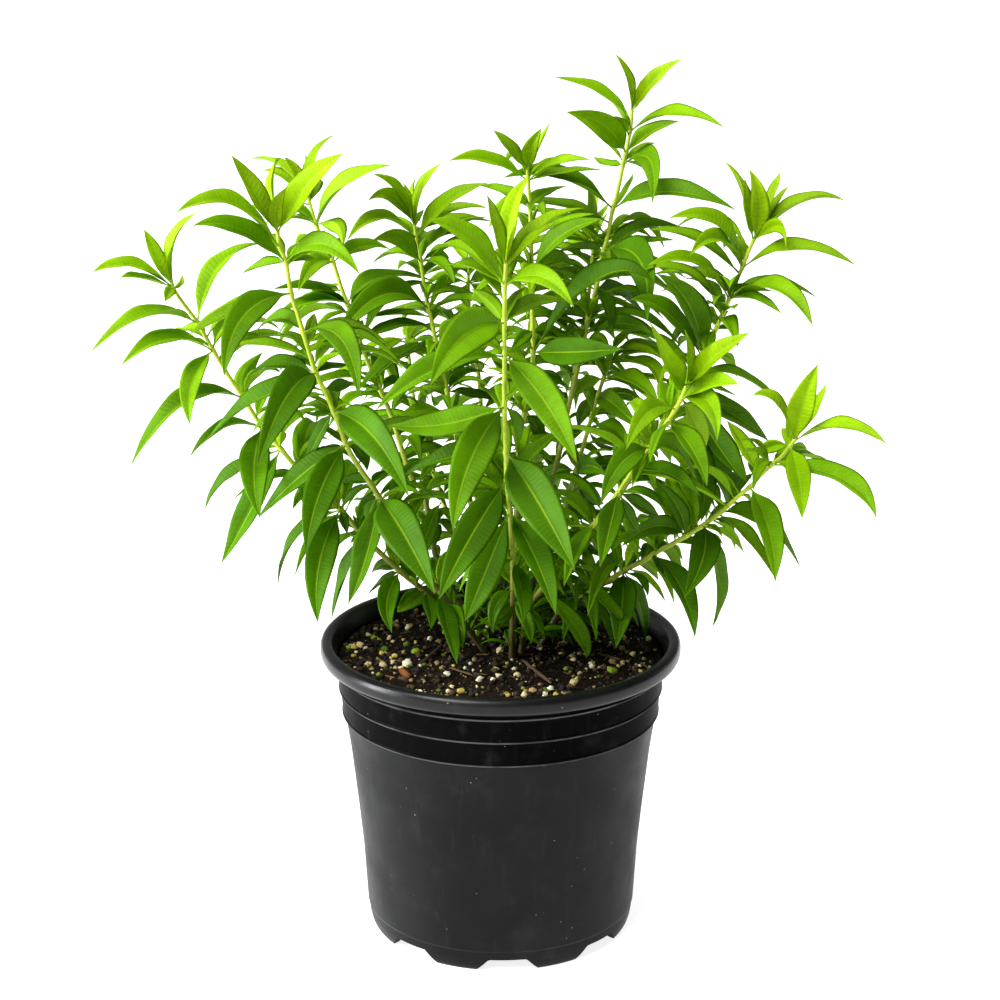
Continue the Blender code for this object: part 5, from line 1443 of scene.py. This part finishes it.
bar(stones, ((418, 668), (441, 648)), 0.9, (0.055, 0.034, 0.018), gen)
bar(stones, ((523, 664), (551, 687)), 0.9, (0.070, 0.042, 0.020), gen)
bar(stones, ((401, 674), (409, 682)), 1.9, (0.17, 0.050, 0.013), gen)
bar(stones, ((598, 655), (622, 661)), 0.7, (0.080, 0.050, 0.026), gen)
bar(stones, ((450, 668), (474, 676)), 0.6, (0.100, 0.062, 0.030), gen)
for k in range(90):
    r, a, turn, long = 80.0 * math.sqrt(gen.random()), gen.uniform(0, 2 * math.pi), gen.uniform(0, math.pi), gen.uniform(2.5, 8.0)
    x, y = r * math.cos(a), r * math.sin(a)
    dx, dy = math.cos(turn) * long / 2, math.sin(turn) * long / 2
    if max(math.hypot(x + dx, y + dy), math.hypot(x - dx, y - dy)) < 84.0:
        bar(stones, ((x - dx, y - dy), (x + dx, y + dy)), gen.uniform(0.18, 0.42),
            gen.choice([(0.05, 0.028, 0.012), (0.11, 0.060, 0.022), (0.028, 0.016, 0.009), (0.16, 0.10, 0.04)]), gen, flat=True)
for label, build in (("peat_crumbs", clods), ("perlite_grains", perlite), ("pebbles_and_twigs", stones)):
    piece = put(label, build.mesh(label, [GRAIN]))
    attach(piece, "root")


# ---------------------------------------------------------------------------
# Floor, light and camera
# ---------------------------------------------------------------------------
mesh = bpy.data.meshes.new("floor")
mesh.from_pydata([(-14, -14, -0.0003), (14, -14, -0.0003), (14, 14, -0.0003), (-14, 14, -0.0003)], [], [(0, 1, 2, 3)])
floor = put("floor", mesh)
pale = Nodes("pale_floor")
shader = pale.new("BsdfPrincipled", in_Roughness=0.9)
shader.inputs["Base Color"].default_value = (0.58, 0.58, 0.58, 1.0)
shader.inputs["Specular IOR Level"].default_value = 0.1
shader.inputs["Emission Color"].default_value = (1.0, 1.0, 1.0, 1.0)
shader.inputs["Emission Strength"].default_value = 0.84
pale.link(shader.outputs[0], pale.out.inputs["Surface"])
floor.data.materials.append(pale.mat)

world = bpy.data.worlds.new("studio")
bpy.context.scene.world = world
world.use_nodes = True
tree = world.node_tree
tree.nodes.clear()
where = tree.nodes.new("ShaderNodeTexCoord")
xyz = tree.nodes.new("ShaderNodeSeparateXYZ")
tree.links.new(where.outputs["Generated"], xyz.inputs[0])
fall = tree.nodes.new("ShaderNodeMapRange")
for key, value in (("From Min", -1.0), ("From Max", 1.0), ("To Min", 0.58), ("To Max", 0.09)):
    fall.inputs[key].default_value = value
tree.links.new(xyz.outputs["X"], fall.inputs["Value"])
path = tree.nodes.new("ShaderNodeLightPath")
level = tree.nodes.new("ShaderNodeMix")
level.inputs[3].default_value = 1.0
tree.links.new(path.outputs["Is Camera Ray"], level.inputs[0])
tree.links.new(fall.outputs["Result"], level.inputs[2])
sky = tree.nodes.new("ShaderNodeBackground")
sky.inputs["Color"].default_value = (1.0, 1.0, 1.0, 1.0)
tree.links.new(level.outputs[0], sky.inputs["Strength"])
tree.links.new(sky.outputs[0], tree.nodes.new("ShaderNodeOutputWorld").inputs["Surface"])


def softbox(name, place, target, size, power, colour=(1.0, 1.0, 1.0)):
    light = bpy.data.lights.new(name, "AREA")
    light.shape = "RECTANGLE"
    light.size, light.size_y = size
    light.energy = power
    light.color = colour
    obj = bpy.data.objects.new(name, light)
    bpy.context.scene.collection.objects.link(obj)
    obj.location = place
    obj.rotation_euler = (Vector(target) - Vector(place)).to_track_quat("-Z", "Y").to_euler()
    return obj


sun = bpy.data.lights.new("key", "SUN")
sun.energy, sun.angle, sun.color = 5.0, math.radians(34.0), (1.0, 0.995, 0.97)
key = bpy.data.objects.new("key", sun)
bpy.context.scene.collection.objects.link(key)
key.rotation_euler = Vector((0.55, 0.62, -1.0)).to_track_quat("-Z", "Y").to_euler()
softbox("left", (-1.6, -0.25, 0.42), (0, 0, 0.14), (0.45, 1.1), 60.0, (0.97, 0.985, 1.0))
softbox("right", (1.6, 0.9, 0.5), (0, 0, 0.12), (0.25, 1.2), 0.7)
softbox("top", (0.2, 0.3, 2.2), (0, 0, 0.3), (1.4, 1.4), 12.0)

cam = bpy.data.cameras.new("camera")
cam.lens, cam.sensor_width, cam.sensor_fit = 86.4, 36.0, "HORIZONTAL"
cam.shift_x = -(SHEET_U0 - 500.0) / 1000.0
cam.clip_start, cam.clip_end = 0.05, 50.0
camera = bpy.data.objects.new("camera", cam)
bpy.context.scene.collection.objects.link(camera)
camera.location = EYE * MM
camera.rotation_euler = (math.radians(90.0 - EYE_PITCH), 0.0, 0.0)
bpy.context.scene.camera = camera
bpy.context.scene.view_settings.view_transform = "Standard"

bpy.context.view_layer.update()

total = 0
for obj in bpy.context.scene.objects:
    if obj.type == "MESH" and (obj.name.startswith("fine_") or obj.name in ("peat_crumbs", "perlite_grains", "pebbles_and_twigs")):
        count = sum(len(p.vertices) - 2 for p in obj.data.polygons)
        total += count
        if count > 60000:
            print(obj.name, count)
print("triangles", total)
